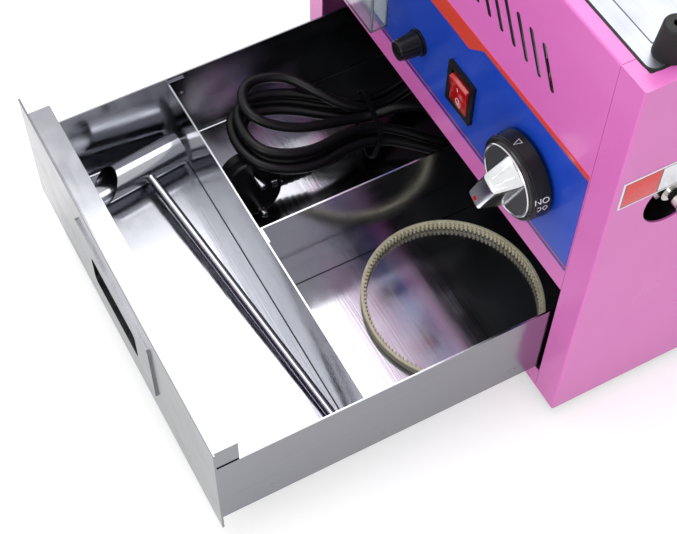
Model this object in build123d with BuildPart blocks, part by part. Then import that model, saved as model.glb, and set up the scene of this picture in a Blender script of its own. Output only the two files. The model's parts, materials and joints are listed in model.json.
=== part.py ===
from build123d import *
from math import atan, cos, floor, pi, radians, sin
import os

# Gas heated candy floss machine without its bowl, drawer pulled out.
# Origin: on the standing plane, below the spindle. +X right, +Y to the back, +Z up. Millimetres.

# ---------------------------------------------------------------- driving sizes
# cabinet
body_w = 306.0
body_d = 320.0
body_h = 286.0
foot_h = 8.0
foot_r = 11.0
foot_inset = 34.0
sheet = 1.0
strip_w = 18.0
deck_lip = 8.0
bend_r = 1.4
rail_h = 17.0
opening_h = 89.0
seam_gap = 0.3
fit_gap = 0.3

# deck and bumpers
deck_t = 1.2
deck_gap = 0.6
deck_corner_r = 5.0
deck_hole_r = 92.0
deck_step = 0.5
deck_step_inset = 10.0
frame_w = 22.0
bumper_r = 8.0
bumper_top_r = 6.2
bumper_h = 18.0
bumper_hole_r = 2.1
bumper_side_inset = 14.5
bumper_end_inset = 22.5

# front controls, heights above the underside of the cabinet
sheet_low = 124.0
sheet_high = 205.5
sheet_t = 0.5
knob_inset = 61.5
knob_z = 162.0
knob_r = 24.5
skirt_t = 10.0
skirt_taper = 6.0
knob_travel = 2.5
grip_r = 18.5
grip_rim_w = 1.4
grip_rim_t = 2.0
grip_t = 16.0
grip_bar_w = 14.0
grip_turn = 65.0
stem_r = 4.0
stem_gap = 0.05
stem_seat = 3.0
stem_depth = 14.0
valve_r = 13.0
valve_len = 34.0
valve_inset = 12.0
port_r = 6.0
port_len = 8.0
rocker_x = 26.0
rocker_z = 156.5
bezel_w = 25.5
bezel_h = 31.0
bezel_t = 2.0
bezel_rim = 4.0
rocker_depth = 24.0
rocker_pivot = 5.0
rocker_tilt = 12.0
rocker_pin_r = 1.2
fuse_x = -19.0
fuse_z = 153.0
fuse_cap_r = 7.2
fuse_cap_t = 13.0
meter_inset = 67.0
meter_z = 159.0
meter_w = 64.0
meter_h = 56.0
meter_t = 11.0
needle_drop = 15.0
needle_len = 26.0
needle_rest = 45.0
needle_pin_r = 0.8

# vents
slot_pitch = 11.2
slot_count = 17
slot_len = 26.2
slot_w = 3.4
slot_lean = 30.0
slot_z = 239.0

# drawer
drawer_out = 206.4
tray_right_gap = 2.0
tray_left_gap = 14.0
right_bay = 126.0
tray_len = 289.0
tray_z = 22.0
tray_h = 61.0
tray_t = 1.0
front_h = 90.0
front_z = 11.0
front_t = 1.2
front_side_gap = 1.0
flange_d = 13.8
divider_t = 1.0
divider_h = 57.0
cross_y = -117.0
divider_tab = 11.0
rivet_r = 2.0
rivet_h = 0.8
rivet_up = 31.5
rivet_pitch = 34.0
pull_w = 104.0
pull_h = 52.0
pull_t = 1.4
pull_cup_w = 62.0
pull_cup_h = 24.0
pull_cup_d = 10.0

# drawer contents
scoop_r = 11.0
scoop_wall = 0.8
scoop_len = 60.0
rod_r = 3.0
rod_seat = 26.0
scoop_inset = 15.0
scoop_turn = 7.1
ring_a = 57.5
ring_b = 54.5
ring_w = 6.0
ring_h = 8.0
cord_d = 6.5

# power cord hank
hank_x = -59.0
hank_y = -172.0
hank_z = 55.9
hank_turn = 12.1
hank_tilt = 14.9
hank_runs = 8
loop_r = 24.0
loop_len = 73.0
loop_shoulder = 50.0
waist_len = 12.0
waist_gap = 3.85
loop_step = 7.25
waist_step = 8.35
layer_step = 7.15
end_turn_r = 19.6
shoulder_turn_r = 20.0
waist_turn_r = 40.0
plug_r = 18.0
plug_t = 21.0
plug_relief = 43.0
pin_r = 2.4
pin_len = 19.0
pin_gap = 19.0
connector_w = 27.0
connector_h = 17.5
connector_len = 32.0
connector_relief = 20.0

# drive
spindle_r = 6.0
spindle_gap = 0.05
pulley_r = 30.0
motor_pulley_r = 12.0
pulley_t = 14.0
groove = 2.0
belt_w = 8.0
belt_t = 3.0
drive_offset = 110.0
drive_angle = 135.0
motor_r = 30.0
motor_h = 88.0
shelf_z = 110.0
bearing_r = 16.0
bearing_t = 10.0

# gas inlet and rear screws
inlet_hole_r = 19.0
inlet_set = 41.0
inlet_up = 187.0
screw_r = 1.5
screw_gap = 0.1
screw_head_r = 3.4
screw_head_t = 2.2
screw_len = 8.0
screw_inset = 6.5
screw_rows = 3
screw_pitch = 110.0

# burner and head
burner_ring_r = 44.0
burner_tube_r = 8.0
burner_z = 268.0
head_r = 64.0
head_z = 303.0
head_wall = 2.0
band_h = 18.0
shield_r = 84.0
shield_h = 34.0

# ---------------------------------------------------------------- derived places
right = body_w / 2
front = -body_d / 2
rear = body_d / 2
base_z = foot_h
top_z = base_z + body_h
lip_z = base_z + rail_h + opening_h
body_mid_z = base_z + body_h / 2
opening_w = body_w - 2 * strip_w
shelf_top = base_z + shelf_z + sheet
tray_right = opening_w / 2 - tray_right_gap
tray_left = -opening_w / 2 + tray_left_gap
tray_w = tray_right - tray_left
tray_mid = (tray_right + tray_left) / 2
panel_front = front - drawer_out - front_t
panel_back = front - drawer_out
tray_rear = panel_back + tray_len
tray_floor = base_z + tray_z + tray_t
tray_top = base_z + tray_z + tray_h
front_top = base_z + front_z + front_h
inner_right = tray_right - tray_t
inner_left = tray_left + tray_t
wall_front_y = panel_back + flange_d
divider_y = front + cross_y
long_x = inner_right - right_bay
control_z = base_z
inlet_y = front + inlet_set
inlet_z = base_z + inlet_up
screw_x = body_w / 2 - screw_inset
bumper_x = body_w / 2 - bumper_side_inset
bumper_y = body_d / 2 - bumper_end_inset
knob_x = right - knob_inset
meter_x = -right + meter_inset

os.makedirs("parts", exist_ok=True)


def save(builder, name):
    builder.part.label = name
    export_step(builder.part, f"parts/{name}.step")


# ---------------------------------------------------------------- cabinet
def side_panel(side):
    """Side wall with its front, back, top and bottom folds; side is +1 right, -1 left."""
    outer = side * body_w / 2
    skin = outer - side * sheet
    front_fold = outer - side * strip_w
    back_fold = outer - side * deck_lip * 1.5
    with BuildPart() as panel:
        with BuildSketch(Plane.XY.offset(base_z)):
            with BuildLine():
                Polyline(
                    (front_fold, front), (outer, front), (outer, rear), (back_fold, rear),
                    (back_fold, rear - sheet), (skin, rear - sheet), (skin, front + sheet),
                    (front_fold, front + sheet), close=True,
                )
            make_face()
        extrude(amount=body_h)
        fold_mid = outer - side * deck_lip / 2
        with BuildSketch(Plane.XY.offset(top_z - sheet)):
            with Locations((fold_mid, 0)):
                Rectangle(deck_lip, body_d)
            with Locations((outer - side * strip_w / 2, front + deck_lip / 2)):
                Rectangle(strip_w, deck_lip)
        extrude(amount=sheet)
        with BuildSketch(Plane.XY.offset(base_z)):
            with Locations((fold_mid, 0)):
                Rectangle(deck_lip, body_d)
        extrude(amount=sheet)
        outer_edges = (
            panel.edges()
            .filter_by(Axis.Z)
            .filter_by_position(Axis.X, outer - 0.01, outer + 0.01)
            .filter_by(lambda e: e.length > body_h - 1)
        )
        fillet(outer_edges, radius=bend_r)
        screw_place = (outer - side * screw_inset, rear, body_mid_z)
        with Locations(Plane(screw_place, x_dir=(1, 0, 0), z_dir=(0, 1, 0))):
            with GridLocations(1, screw_pitch, 1, screw_rows):
                Hole(screw_r + screw_gap, depth=2 * sheet)
        if side > 0:
            with BuildSketch(Plane.YZ.offset(skin - sheet)):
                with Locations((inlet_y, inlet_z)):
                    Circle(inlet_hole_r)
            extrude(amount=3 * sheet, mode=Mode.SUBTRACT)
    return panel


side_panel_right = side_panel(1)
save(side_panel_right, "side_panel_right")
side_panel_left = side_panel(-1)
save(side_panel_left, "side_panel_left")

panel_w = opening_w - 2 * seam_gap
rocker_hole_w = bezel_w - bezel_rim
rocker_hole_h = bezel_h - bezel_rim
fuse_hole_r = 6.2
stem_hole_r = 6.0
meter_hole_r = 22.0

with BuildPart() as front_panel:
    with BuildSketch(Plane.YZ.offset(-panel_w / 2)):
        with BuildLine():
            Polyline(
                (front, lip_z), (front, top_z), (front + deck_lip, top_z),
                (front + deck_lip, top_z - sheet), (front + sheet, top_z - sheet),
                (front + sheet, lip_z + sheet), (front + strip_w, lip_z + sheet),
                (front + strip_w, lip_z), close=True,
            )
        make_face()
    extrude(amount=panel_w)
    fillet(front_panel.edges().filter_by(Axis.X).group_by(Axis.Y)[0].sort_by(Axis.Z)[-1], radius=bend_r)
    with BuildSketch(Plane.XZ.offset(-front - 2 * sheet)) as openings_sketch:
        with GridLocations(slot_pitch, 1, slot_count, 1):
            with Locations((0, control_z + slot_z)):
                SlotOverall(slot_len, slot_w, rotation=90 + slot_lean)
        with Locations((rocker_x, control_z + rocker_z)):
            Rectangle(rocker_hole_w, rocker_hole_h)
        with Locations((fuse_x, control_z + fuse_z)):
            Circle(fuse_hole_r)
        with Locations((knob_x, control_z + knob_z)):
            Circle(stem_hole_r)
        with Locations((meter_x, control_z + meter_z)):
            Circle(meter_hole_r)
    extrude(amount=3 * sheet, mode=Mode.SUBTRACT)
save(front_panel, "front_panel")

with BuildPart() as control_sheet:
    with BuildSketch(Plane.XZ.offset(-front)):
        with Locations((0, control_z + (sheet_low + sheet_high) / 2)):
            Rectangle(opening_w - 2, sheet_high - sheet_low)
        with Locations((rocker_x, control_z + rocker_z)):
            Rectangle(rocker_hole_w, rocker_hole_h, mode=Mode.SUBTRACT)
        with Locations((fuse_x, control_z + fuse_z)):
            Circle(fuse_hole_r, mode=Mode.SUBTRACT)
        with Locations((knob_x, control_z + knob_z)):
            Circle(stem_hole_r, mode=Mode.SUBTRACT)
        with Locations((meter_x, control_z + meter_z)):
            Circle(meter_hole_r, mode=Mode.SUBTRACT)
    extrude(amount=sheet_t)
save(control_sheet, "control_sheet")

base_w = body_w - 2 * (sheet + seam_gap)
base_d = body_d - 2 * (sheet + seam_gap)
with BuildPart() as base_pan:
    with BuildSketch(Plane.XY.offset(base_z + sheet)):
        Rectangle(base_w, base_d)
    extrude(amount=sheet)
    with BuildSketch(Plane.YZ.offset(-panel_w / 2)):
        with BuildLine():
            Polyline(
                (front, base_z), (front, base_z + rail_h), (front + deck_lip, base_z + rail_h),
                (front + deck_lip, base_z + rail_h - sheet), (front + sheet, base_z + rail_h - sheet),
                (front + sheet, base_z + 2 * sheet), (front + 2 * deck_lip, base_z + 2 * sheet),
                (front + 2 * deck_lip, base_z), close=True,
            )
        make_face()
    extrude(amount=panel_w)
    with BuildSketch(Plane.XY.offset(base_z + 2 * sheet)):
        with Locations((0, base_d / 2 - sheet / 2)):
            Rectangle(base_w, sheet)
    extrude(amount=12)
save(base_pan, "base_pan")

rear_w = body_w - 8
cord_inlet_x = -95.0
cord_inlet_z = 150.0
inlet_w = 27.0
inlet_h = 20.0
inlet_fit = 0.25
with BuildPart() as rear_panel:
    with BuildSketch(Plane.XZ.offset(-rear - sheet)):
        with Locations((0, body_mid_z + 1.5)):
            Rectangle(rear_w, body_h - 3)
        with GridLocations(slot_pitch, 1, slot_count, 1):
            with Locations((0, control_z + slot_z)):
                SlotOverall(slot_len, slot_w, rotation=90, mode=Mode.SUBTRACT)
        with Locations((cord_inlet_x, base_z + cord_inlet_z)):
            Rectangle(inlet_w + 2 * inlet_fit, inlet_h + 2 * inlet_fit, mode=Mode.SUBTRACT)
        with Locations((0, body_mid_z)):
            with GridLocations(2 * screw_x, screw_pitch, 2, screw_rows):
                Circle(screw_r + screw_gap, mode=Mode.SUBTRACT)
    extrude(amount=sheet)
    with BuildSketch(Plane.XY.offset(top_z - sheet)):
        with Locations((0, rear + sheet - (deck_lip + sheet) / 2)):
            Rectangle(body_w - 3 * deck_lip - seam_gap, deck_lip + sheet)
    extrude(amount=sheet)
save(rear_panel, "rear_panel")

with BuildPart() as panel_screws:
    with BuildSketch(Plane.XZ.offset(-rear - sheet)):
        with Locations((0, body_mid_z)):
            with GridLocations(2 * screw_x, screw_pitch, 2, screw_rows):
                Circle(screw_r)
    extrude(amount=screw_len)
    with BuildSketch(Plane.XZ.offset(-rear - sheet)):
        with Locations((0, body_mid_z)):
            with GridLocations(2 * screw_x, screw_pitch, 2, screw_rows):
                Circle(screw_head_r)
    extrude(amount=-screw_head_t)
    fillet(panel_screws.faces().filter_by(Axis.Y).group_by(Axis.Y)[-1].edges(), radius=1.2)
save(panel_screws, "panel_screws")

inlet_depth = 18.0
inlet_bezel = 2.0
with BuildPart() as power_inlet:
    with BuildSketch(Plane.XZ.offset(-rear - sheet)):
        with Locations((cord_inlet_x, base_z + cord_inlet_z)):
            RectangleRounded(inlet_w + 2 * inlet_bezel, inlet_h + 2 * inlet_bezel, 2)
    extrude(amount=-inlet_bezel)
    with BuildSketch(Plane.XZ.offset(-rear - sheet)):
        with Locations((cord_inlet_x, base_z + cord_inlet_z)):
            Rectangle(inlet_w, inlet_h)
    extrude(amount=inlet_depth)
    with BuildSketch(Plane.XZ.offset(-rear - sheet - inlet_bezel)):
        with Locations((cord_inlet_x, base_z + cord_inlet_z)):
            Rectangle(inlet_w - 3, inlet_h - 3.5)
    extrude(amount=inlet_depth, mode=Mode.SUBTRACT)
save(power_inlet, "power_inlet")

shelf_w = body_w - 2 * sheet
shelf_d = body_d - 2 * (sheet + 2 * fit_gap)
shelf_fold = 12.0
with BuildPart() as chassis_shelf:
    with BuildSketch(Plane.XY.offset(base_z + shelf_z)):
        Rectangle(shelf_w, shelf_d)
    extrude(amount=sheet)
    with BuildSketch(Plane.XY.offset(shelf_top)):
        with Locations((shelf_w / 2 - sheet / 2, 0), (-shelf_w / 2 + sheet / 2, 0)):
            Rectangle(sheet, shelf_d)
    extrude(amount=shelf_fold)
save(chassis_shelf, "chassis_shelf")

frame_t = 1.2
with BuildPart() as deck_frame:
    with BuildSketch(Plane.XY.offset(top_z - sheet - frame_t)):
        Rectangle(base_w, base_d)
        Rectangle(base_w - 2 * frame_w, base_d - 2 * frame_w, mode=Mode.SUBTRACT)
    extrude(amount=frame_t)
save(deck_frame, "deck_frame")

deck_w = body_w - 2 * (deck_lip + deck_gap)
deck_d = body_d - 2 * (deck_lip + deck_gap)
deck_z = top_z - sheet
deck_top = deck_z + deck_t
with BuildPart() as deck_plate:
    with BuildSketch(Plane.XY.offset(deck_z)):
        RectangleRounded(deck_w, deck_d, deck_corner_r)
        Circle(deck_hole_r, mode=Mode.SUBTRACT)
    extrude(amount=deck_t)
    with BuildSketch(Plane.XY.offset(deck_top)):
        RectangleRounded(deck_w - 2 * deck_step_inset, deck_d - 2 * deck_step_inset, deck_corner_r)
        Circle(deck_hole_r, mode=Mode.SUBTRACT)
        with GridLocations(2 * bumper_x, 2 * bumper_y, 2, 2):
            Circle(bumper_r + fit_gap, mode=Mode.SUBTRACT)
    extrude(amount=deck_step)
    with Locations(Plane.XY.offset(deck_top + deck_step)):
        with GridLocations(2 * bumper_x, 2 * bumper_y, 2, 2):
            Hole(bumper_hole_r)
save(deck_plate, "deck_plate")

bumper_z = deck_top
with BuildPart() as bowl_bumpers:
    with GridLocations(2 * bumper_x, 2 * bumper_y, 2, 2):
        with Locations((0, 0, bumper_z)):
            Cone(
                bumper_r, bumper_top_r, bumper_h,
                align=(Align.CENTER, Align.CENTER, Align.MIN),
            )
    fillet(bowl_bumpers.edges().filter_by(GeomType.CIRCLE).group_by(Axis.Z)[-1], radius=1.5)
    with Locations(Plane.XY.offset(bumper_z + bumper_h)):
        with GridLocations(2 * bumper_x, 2 * bumper_y, 2, 2):
            Hole(bumper_hole_r, depth=bumper_h)
save(bowl_bumpers, "bowl_bumpers")

foot_x = body_w / 2 - foot_inset
foot_y = body_d / 2 - foot_inset
foot_spread = GridLocations(2 * foot_x, 2 * foot_y, 2, 2)
with BuildPart() as rubber_feet:
    with foot_spread:
        Cone(foot_r - 1.5, foot_r, base_z + sheet, align=(Align.CENTER, Align.CENTER, Align.MIN))
save(rubber_feet, "rubber_feet")

# ---------------------------------------------------------------- control parts
skirt_back = front - sheet_t - knob_travel - fit_gap
skirt_front = skirt_back - skirt_t
valve_front = front + valve_inset
stem_end = valve_front + stem_depth
with BuildPart() as valve_stem:
    with BuildSketch(Plane.XZ.offset(-skirt_back + stem_seat)):
        with Locations((knob_x, control_z + knob_z)):
            Circle(stem_r)
    extrude(amount=skirt_back - stem_seat - stem_end)
save(valve_stem, "valve_stem")

knob_plane = Plane.XZ.offset(-skirt_back)
with BuildPart() as knob_skirt:
    with BuildSketch(knob_plane):
        with Locations((knob_x, control_z + knob_z)):
            Circle(knob_r)
    extrude(amount=skirt_t, taper=skirt_taper)
    fillet(knob_skirt.faces().sort_by(Axis.Y)[0].edges(), radius=1.0)
    with BuildSketch(knob_plane):
        with Locations((knob_x, control_z + knob_z)):
            Circle(stem_r + stem_gap)
    extrude(amount=stem_seat, mode=Mode.SUBTRACT)
    with BuildSketch(knob_plane):
        with Locations((knob_x, control_z + knob_z)):
            Circle(knob_r - 3)
            Circle(stem_r + 4, mode=Mode.SUBTRACT)
    extrude(amount=2, mode=Mode.SUBTRACT)
save(knob_skirt, "knob_skirt")

grip_plane = Plane.XZ.offset(-skirt_front)
with BuildPart() as knob_grip:
    with BuildSketch(grip_plane):
        with Locations((knob_x, control_z + knob_z)):
            Circle(grip_r)
    extrude(amount=grip_rim_t)
    with BuildSketch(grip_plane.offset(grip_rim_t)):
        with Locations((knob_x, control_z + knob_z)):
            Circle(grip_r - grip_rim_w)
    extrude(amount=-grip_rim_t / 2, mode=Mode.SUBTRACT)
    with BuildSketch(grip_plane):
        with Locations((knob_x, control_z + knob_z)):
            SlotOverall(2 * grip_r, grip_bar_w, rotation=grip_turn)
    extrude(amount=grip_t, taper=7)
    fillet(knob_grip.faces().sort_by(Axis.Y)[0].edges(), radius=1.6)
save(knob_grip, "knob_grip")

valve_rear = valve_front + valve_len
port_y = valve_rear - 9
port_z = control_z + knob_z
with BuildPart() as gas_valve:
    with BuildSketch(Plane.XZ.offset(-valve_front)):
        with Locations((knob_x, control_z + knob_z)):
            Circle(valve_r)
    extrude(amount=-valve_len)
    with BuildSketch(Plane.YZ.offset(knob_x)):
        with Locations((port_y, port_z)):
            Circle(port_r)
    extrude(amount=valve_r + port_len, both=True)
    with BuildSketch(Plane.XZ.offset(-valve_front)):
        with Locations((knob_x, control_z + knob_z)):
            Circle(stem_r + stem_gap)
    extrude(amount=-stem_depth - knob_travel - 1, mode=Mode.SUBTRACT)
save(gas_valve, "gas_valve")

with BuildPart() as valve_bracket:
    with BuildSketch(Plane.XZ.offset(-valve_rear)):
        with Locations((knob_x, control_z + knob_z)):
            Rectangle(2 * valve_r + 10, 2 * valve_r + 6)
        with Locations((knob_x, (shelf_top + control_z + knob_z) / 2)):
            Rectangle(2 * valve_r, control_z + knob_z - shelf_top)
    extrude(amount=-2)
    with BuildSketch(Plane.XY.offset(shelf_top)):
        with Locations((knob_x, valve_rear + 10)):
            Rectangle(2 * valve_r, 20)
    extrude(amount=2)
save(valve_bracket, "valve_bracket")

rocker_cavity_w = rocker_hole_w - 4.0
rocker_cavity_h = rocker_hole_h - 4.0
rocker_face = front - sheet_t
pivot_y = rocker_face + rocker_pivot
pivot_z = control_z + rocker_z
with BuildPart() as rocker_housing:
    with BuildSketch(Plane.XZ.offset(-rocker_face)):
        with Locations((rocker_x, control_z + rocker_z)):
            RectangleRounded(bezel_w, bezel_h, 1.5)
    extrude(amount=bezel_t)
    with BuildSketch(Plane.XZ.offset(-rocker_face)):
        with Locations((rocker_x, control_z + rocker_z)):
            Rectangle(rocker_hole_w - 0.4, rocker_hole_h - 0.4)
    extrude(amount=-rocker_depth)
    with BuildSketch(Plane.XZ.offset(-rocker_face + bezel_t)):
        with Locations((rocker_x, control_z + rocker_z)):
            Rectangle(rocker_cavity_w, rocker_cavity_h)
    extrude(amount=-rocker_depth + 3, mode=Mode.SUBTRACT)
    with BuildSketch(Plane.YZ.offset(rocker_x - rocker_cavity_w / 2 - 1)):
        with Locations((pivot_y, pivot_z)):
            Circle(rocker_pin_r)
    extrude(amount=rocker_cavity_w + 2)
save(rocker_housing, "rocker_housing")

rocker_half = rocker_cavity_h / 2 - 0.4
wall_lean = radians(rocker_tilt)
edge_front = rocker_pivot + bezel_t - 0.5
edge_back = 1.0
rocker_plane = Plane(
    origin=(rocker_x, pivot_y, pivot_z), x_dir=(0, cos(wall_lean), sin(wall_lean)), z_dir=(1, 0, 0)
)


def pressed(depth):
    """Point of the rocker's end wall that lies at this depth when its end is pressed home."""
    return (
        -depth * cos(wall_lean) - rocker_half * sin(wall_lean),
        rocker_half * cos(wall_lean) - depth * sin(wall_lean),
    )


with BuildPart() as power_rocker:
    with BuildSketch(rocker_plane):
        with BuildLine():
            upper_front = pressed(edge_front)
            upper_back = pressed(edge_back)
            Polyline(
                (3.0, 3.4), upper_back, upper_front, (-edge_front, 0),
                (upper_front[0], -upper_front[1]), (upper_back[0], -upper_back[1]), (3.0, -3.4), close=True,
            )
        make_face()
        Circle(rocker_pin_r + spindle_gap, mode=Mode.SUBTRACT)
    extrude(amount=rocker_cavity_w / 2 - 0.4, both=True)
save(power_rocker, "power_rocker")

fuse_face = front - sheet_t
fuse_body_len = 32.0
with BuildPart() as fuse_holder:
    with BuildSketch(Plane.XZ.offset(-fuse_face)):
        with Locations((fuse_x, control_z + fuse_z)):
            Circle(fuse_cap_r + 1.0)
            Circle(fuse_cap_r - 2.2, mode=Mode.SUBTRACT)
    extrude(amount=1.6)
    with BuildSketch(Plane.XZ.offset(-fuse_face)):
        with Locations((fuse_x, control_z + fuse_z)):
            Circle(fuse_hole_r - 0.2)
            Circle(fuse_cap_r - 2.2, mode=Mode.SUBTRACT)
    extrude(amount=-fuse_body_len)
    with BuildSketch(Plane.XZ.offset(-front - sheet)):
        with Locations((fuse_x, control_z + fuse_z)):
            RegularPolygon(9.5, 6)
            Circle(fuse_hole_r - 0.6, mode=Mode.SUBTRACT)
    extrude(amount=-3)
save(fuse_holder, "fuse_holder")

fuse_cap_base = fuse_face - 1.6 - fit_gap
fuse_plug_r = fuse_cap_r - 2.2 - 0.08
with BuildPart() as fuse_cap:
    with BuildSketch(Plane.XZ.offset(-fuse_cap_base)):
        with Locations((fuse_x, control_z + fuse_z)):
            Circle(fuse_cap_r)
    extrude(amount=fuse_cap_t, taper=5)
    fillet(fuse_cap.faces().sort_by(Axis.Y)[0].edges(), radius=0.8)
    with BuildSketch(Plane.XZ.offset(-fuse_cap_base + fuse_cap_t)):
        with Locations((fuse_x, control_z + fuse_z)):
            Rectangle(7.5, 1.6)
    extrude(amount=-1.6, mode=Mode.SUBTRACT)
    with BuildSketch(Plane.XZ.offset(-fuse_cap_base)):
        with Locations((fuse_x, control_z + fuse_z)):
            Circle(fuse_plug_r)
            Circle(2.65, mode=Mode.SUBTRACT)
    extrude(amount=-8)
save(fuse_cap, "fuse_cap")

with BuildPart() as fuse_link:
    with BuildSketch(Plane.XZ.offset(-fuse_cap_base - 0.3)):
        with Locations((fuse_x, control_z + fuse_z)):
            Circle(2.55)
    extrude(amount=-20)
save(fuse_link, "fuse_link")

meter_face = front - sheet_t
meter_wall = 2.0
dial_back = meter_face - 1.0
with BuildPart() as meter_cover:
    with BuildSketch(Plane.XZ.offset(-meter_face)):
        with Locations((meter_x, control_z + meter_z)):
            RectangleRounded(meter_w, meter_h, 2)
    extrude(amount=meter_t)
    fillet(meter_cover.faces().sort_by(Axis.Y)[0].edges(), radius=1.0)
    with BuildSketch(Plane.XZ.offset(-meter_face)):
        with Locations((meter_x, control_z + meter_z)):
            Rectangle(meter_w - 2 * meter_wall, meter_h - 2 * meter_wall)
    extrude(amount=meter_t - meter_wall, mode=Mode.SUBTRACT)
save(meter_cover, "meter_cover")

needle_x = meter_x
needle_z = control_z + meter_z - needle_drop
with BuildPart() as meter_dial:
    with BuildSketch(Plane.XZ.offset(-meter_face)):
        with Locations((meter_x, control_z + meter_z)):
            Rectangle(meter_w - 2 * meter_wall - 0.6, meter_h - 2 * meter_wall - 0.6)
    extrude(amount=1.0)
    with BuildSketch(Plane.XZ.offset(-meter_face)):
        with Locations((needle_x, needle_z)):
            Circle(needle_pin_r)
    extrude(amount=5.5)
save(meter_dial, "meter_dial")

with BuildPart() as meter_body:
    with BuildSketch(Plane.XZ.offset(-meter_face)):
        with Locations((meter_x, control_z + meter_z)):
            Circle(meter_hole_r - 0.4)
    extrude(amount=-28)
save(meter_body, "meter_body")

with BuildPart() as meter_needle:
    with BuildSketch(Plane.XZ.offset(-meter_face + 1.3)):
        with Locations((needle_x, needle_z)):
            Circle(3.2)
    extrude(amount=3.2)
    with BuildSketch(Plane.XZ.offset(-meter_face + 3.2)):
        with Locations((needle_x, needle_z)):
            with Locations(Location((0, 0, 0), (0, 0, 90 + needle_rest))):
                with Locations((needle_len / 2 - 1, 0)):
                    Rectangle(needle_len, 1.0)
    extrude(amount=0.5)
    with BuildSketch(Plane.XZ.offset(-meter_face)):
        with Locations((needle_x, needle_z)):
            Circle(needle_pin_r + spindle_gap)
    extrude(amount=6, mode=Mode.SUBTRACT)
save(meter_needle, "meter_needle")

# ---------------------------------------------------------------- gas line
cup_depth = 16.0
with BuildPart() as inlet_cup:
    with BuildSketch(Plane.YZ.offset(right - sheet)):
        with Locations((inlet_y, inlet_z)):
            Circle(inlet_hole_r + 3)
    extrude(amount=-cup_depth)
    with BuildSketch(Plane.YZ.offset(right - sheet)):
        with Locations((inlet_y, inlet_z)):
            Circle(inlet_hole_r - 0.4)
    extrude(amount=-cup_depth + 2, mode=Mode.SUBTRACT)
    with BuildSketch(Plane.YZ.offset(right - sheet)):
        with Locations((inlet_y, inlet_z)):
            Circle(6.0)
    extrude(amount=-cup_depth - 1, mode=Mode.SUBTRACT)
save(inlet_cup, "inlet_cup")

barb_r = 4.6
cup_floor = right - sheet - cup_depth + 2
with BuildPart() as gas_inlet:
    with BuildSketch(Plane.YZ.offset(cup_floor)):
        with Locations((inlet_y, inlet_z)):
            RegularPolygon(9.8, 6)
    extrude(amount=8)
    with BuildSketch(Plane.YZ.offset(cup_floor + 8)):
        with Locations((inlet_y, inlet_z)):
            Circle(6.5)
    extrude(amount=4)
    with BuildSketch(Plane.YZ.offset(cup_floor + 12)):
        with Locations((inlet_y, inlet_z)):
            Circle(barb_r - 0.6)
    extrude(amount=20)
    for ridge in range(3):
        with BuildSketch(Plane.YZ.offset(cup_floor + 17 + 4.5 * ridge)):
            with Locations((inlet_y, inlet_z)):
                Circle(barb_r)
        extrude(amount=3.6, taper=10)
    with BuildSketch(Plane.YZ.offset(cup_floor)):
        with Locations((inlet_y, inlet_z)):
            Circle(5.9)
    extrude(amount=-9)
    with BuildSketch(Plane.YZ.offset(cup_floor + 32)):
        with Locations((inlet_y, inlet_z)):
            Circle(2.4)
    extrude(amount=-20, mode=Mode.SUBTRACT)
save(gas_inlet, "gas_inlet")

inlet_tail = cup_floor - 9
pipe_r = 2.4
supply_x = knob_x + valve_r + port_len
with BuildPart() as supply_pipe:
    with BuildLine() as supply_path:
        FilletPolyline(
            (inlet_tail, inlet_y, inlet_z), (inlet_tail - 7.5, inlet_y, inlet_z),
            (supply_x + 6.5, port_y + 6, port_z + 6), (supply_x + 6.5, port_y, port_z),
            (supply_x, port_y, port_z), radius=[4.2, 3.0, 3.0],
        )
    with BuildSketch(Plane(origin=supply_path.line @ 0, z_dir=supply_path.line % 0)):
        Circle(pipe_r)
    sweep(path=supply_path.line)
save(supply_pipe, "supply_pipe")

feed_x = knob_x - valve_r - port_len
boss_z = burner_z - 2 * burner_tube_r
with BuildPart() as burner_pipe:
    with BuildLine() as feed_path:
        FilletPolyline(
            (feed_x, port_y, port_z), (feed_x - 26, port_y, port_z), (0, -burner_ring_r, port_z + 38),
            (0, -burner_ring_r, boss_z), radius=[20, 20],
        )
    with BuildSketch(Plane(origin=feed_path.line @ 0, z_dir=feed_path.line % 0)):
        Circle(pipe_r + 0.8)
    sweep(path=feed_path.line)
save(burner_pipe, "burner_pipe")

# ---------------------------------------------------------------- drawer
with BuildPart() as drawer_tray:
    with BuildSketch(Plane.XY.offset(base_z + tray_z)):
        with Locations((tray_mid, panel_back + tray_len / 2)):
            Rectangle(tray_w, tray_len)
    extrude(amount=tray_h)
    with BuildSketch(Plane.XY.offset(tray_floor)):
        with Locations((tray_mid, panel_back + (tray_len - tray_t) / 2)):
            Rectangle(tray_w - 2 * tray_t, tray_len - tray_t)
    extrude(amount=tray_h, mode=Mode.SUBTRACT)
save(drawer_tray, "drawer_tray")

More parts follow.
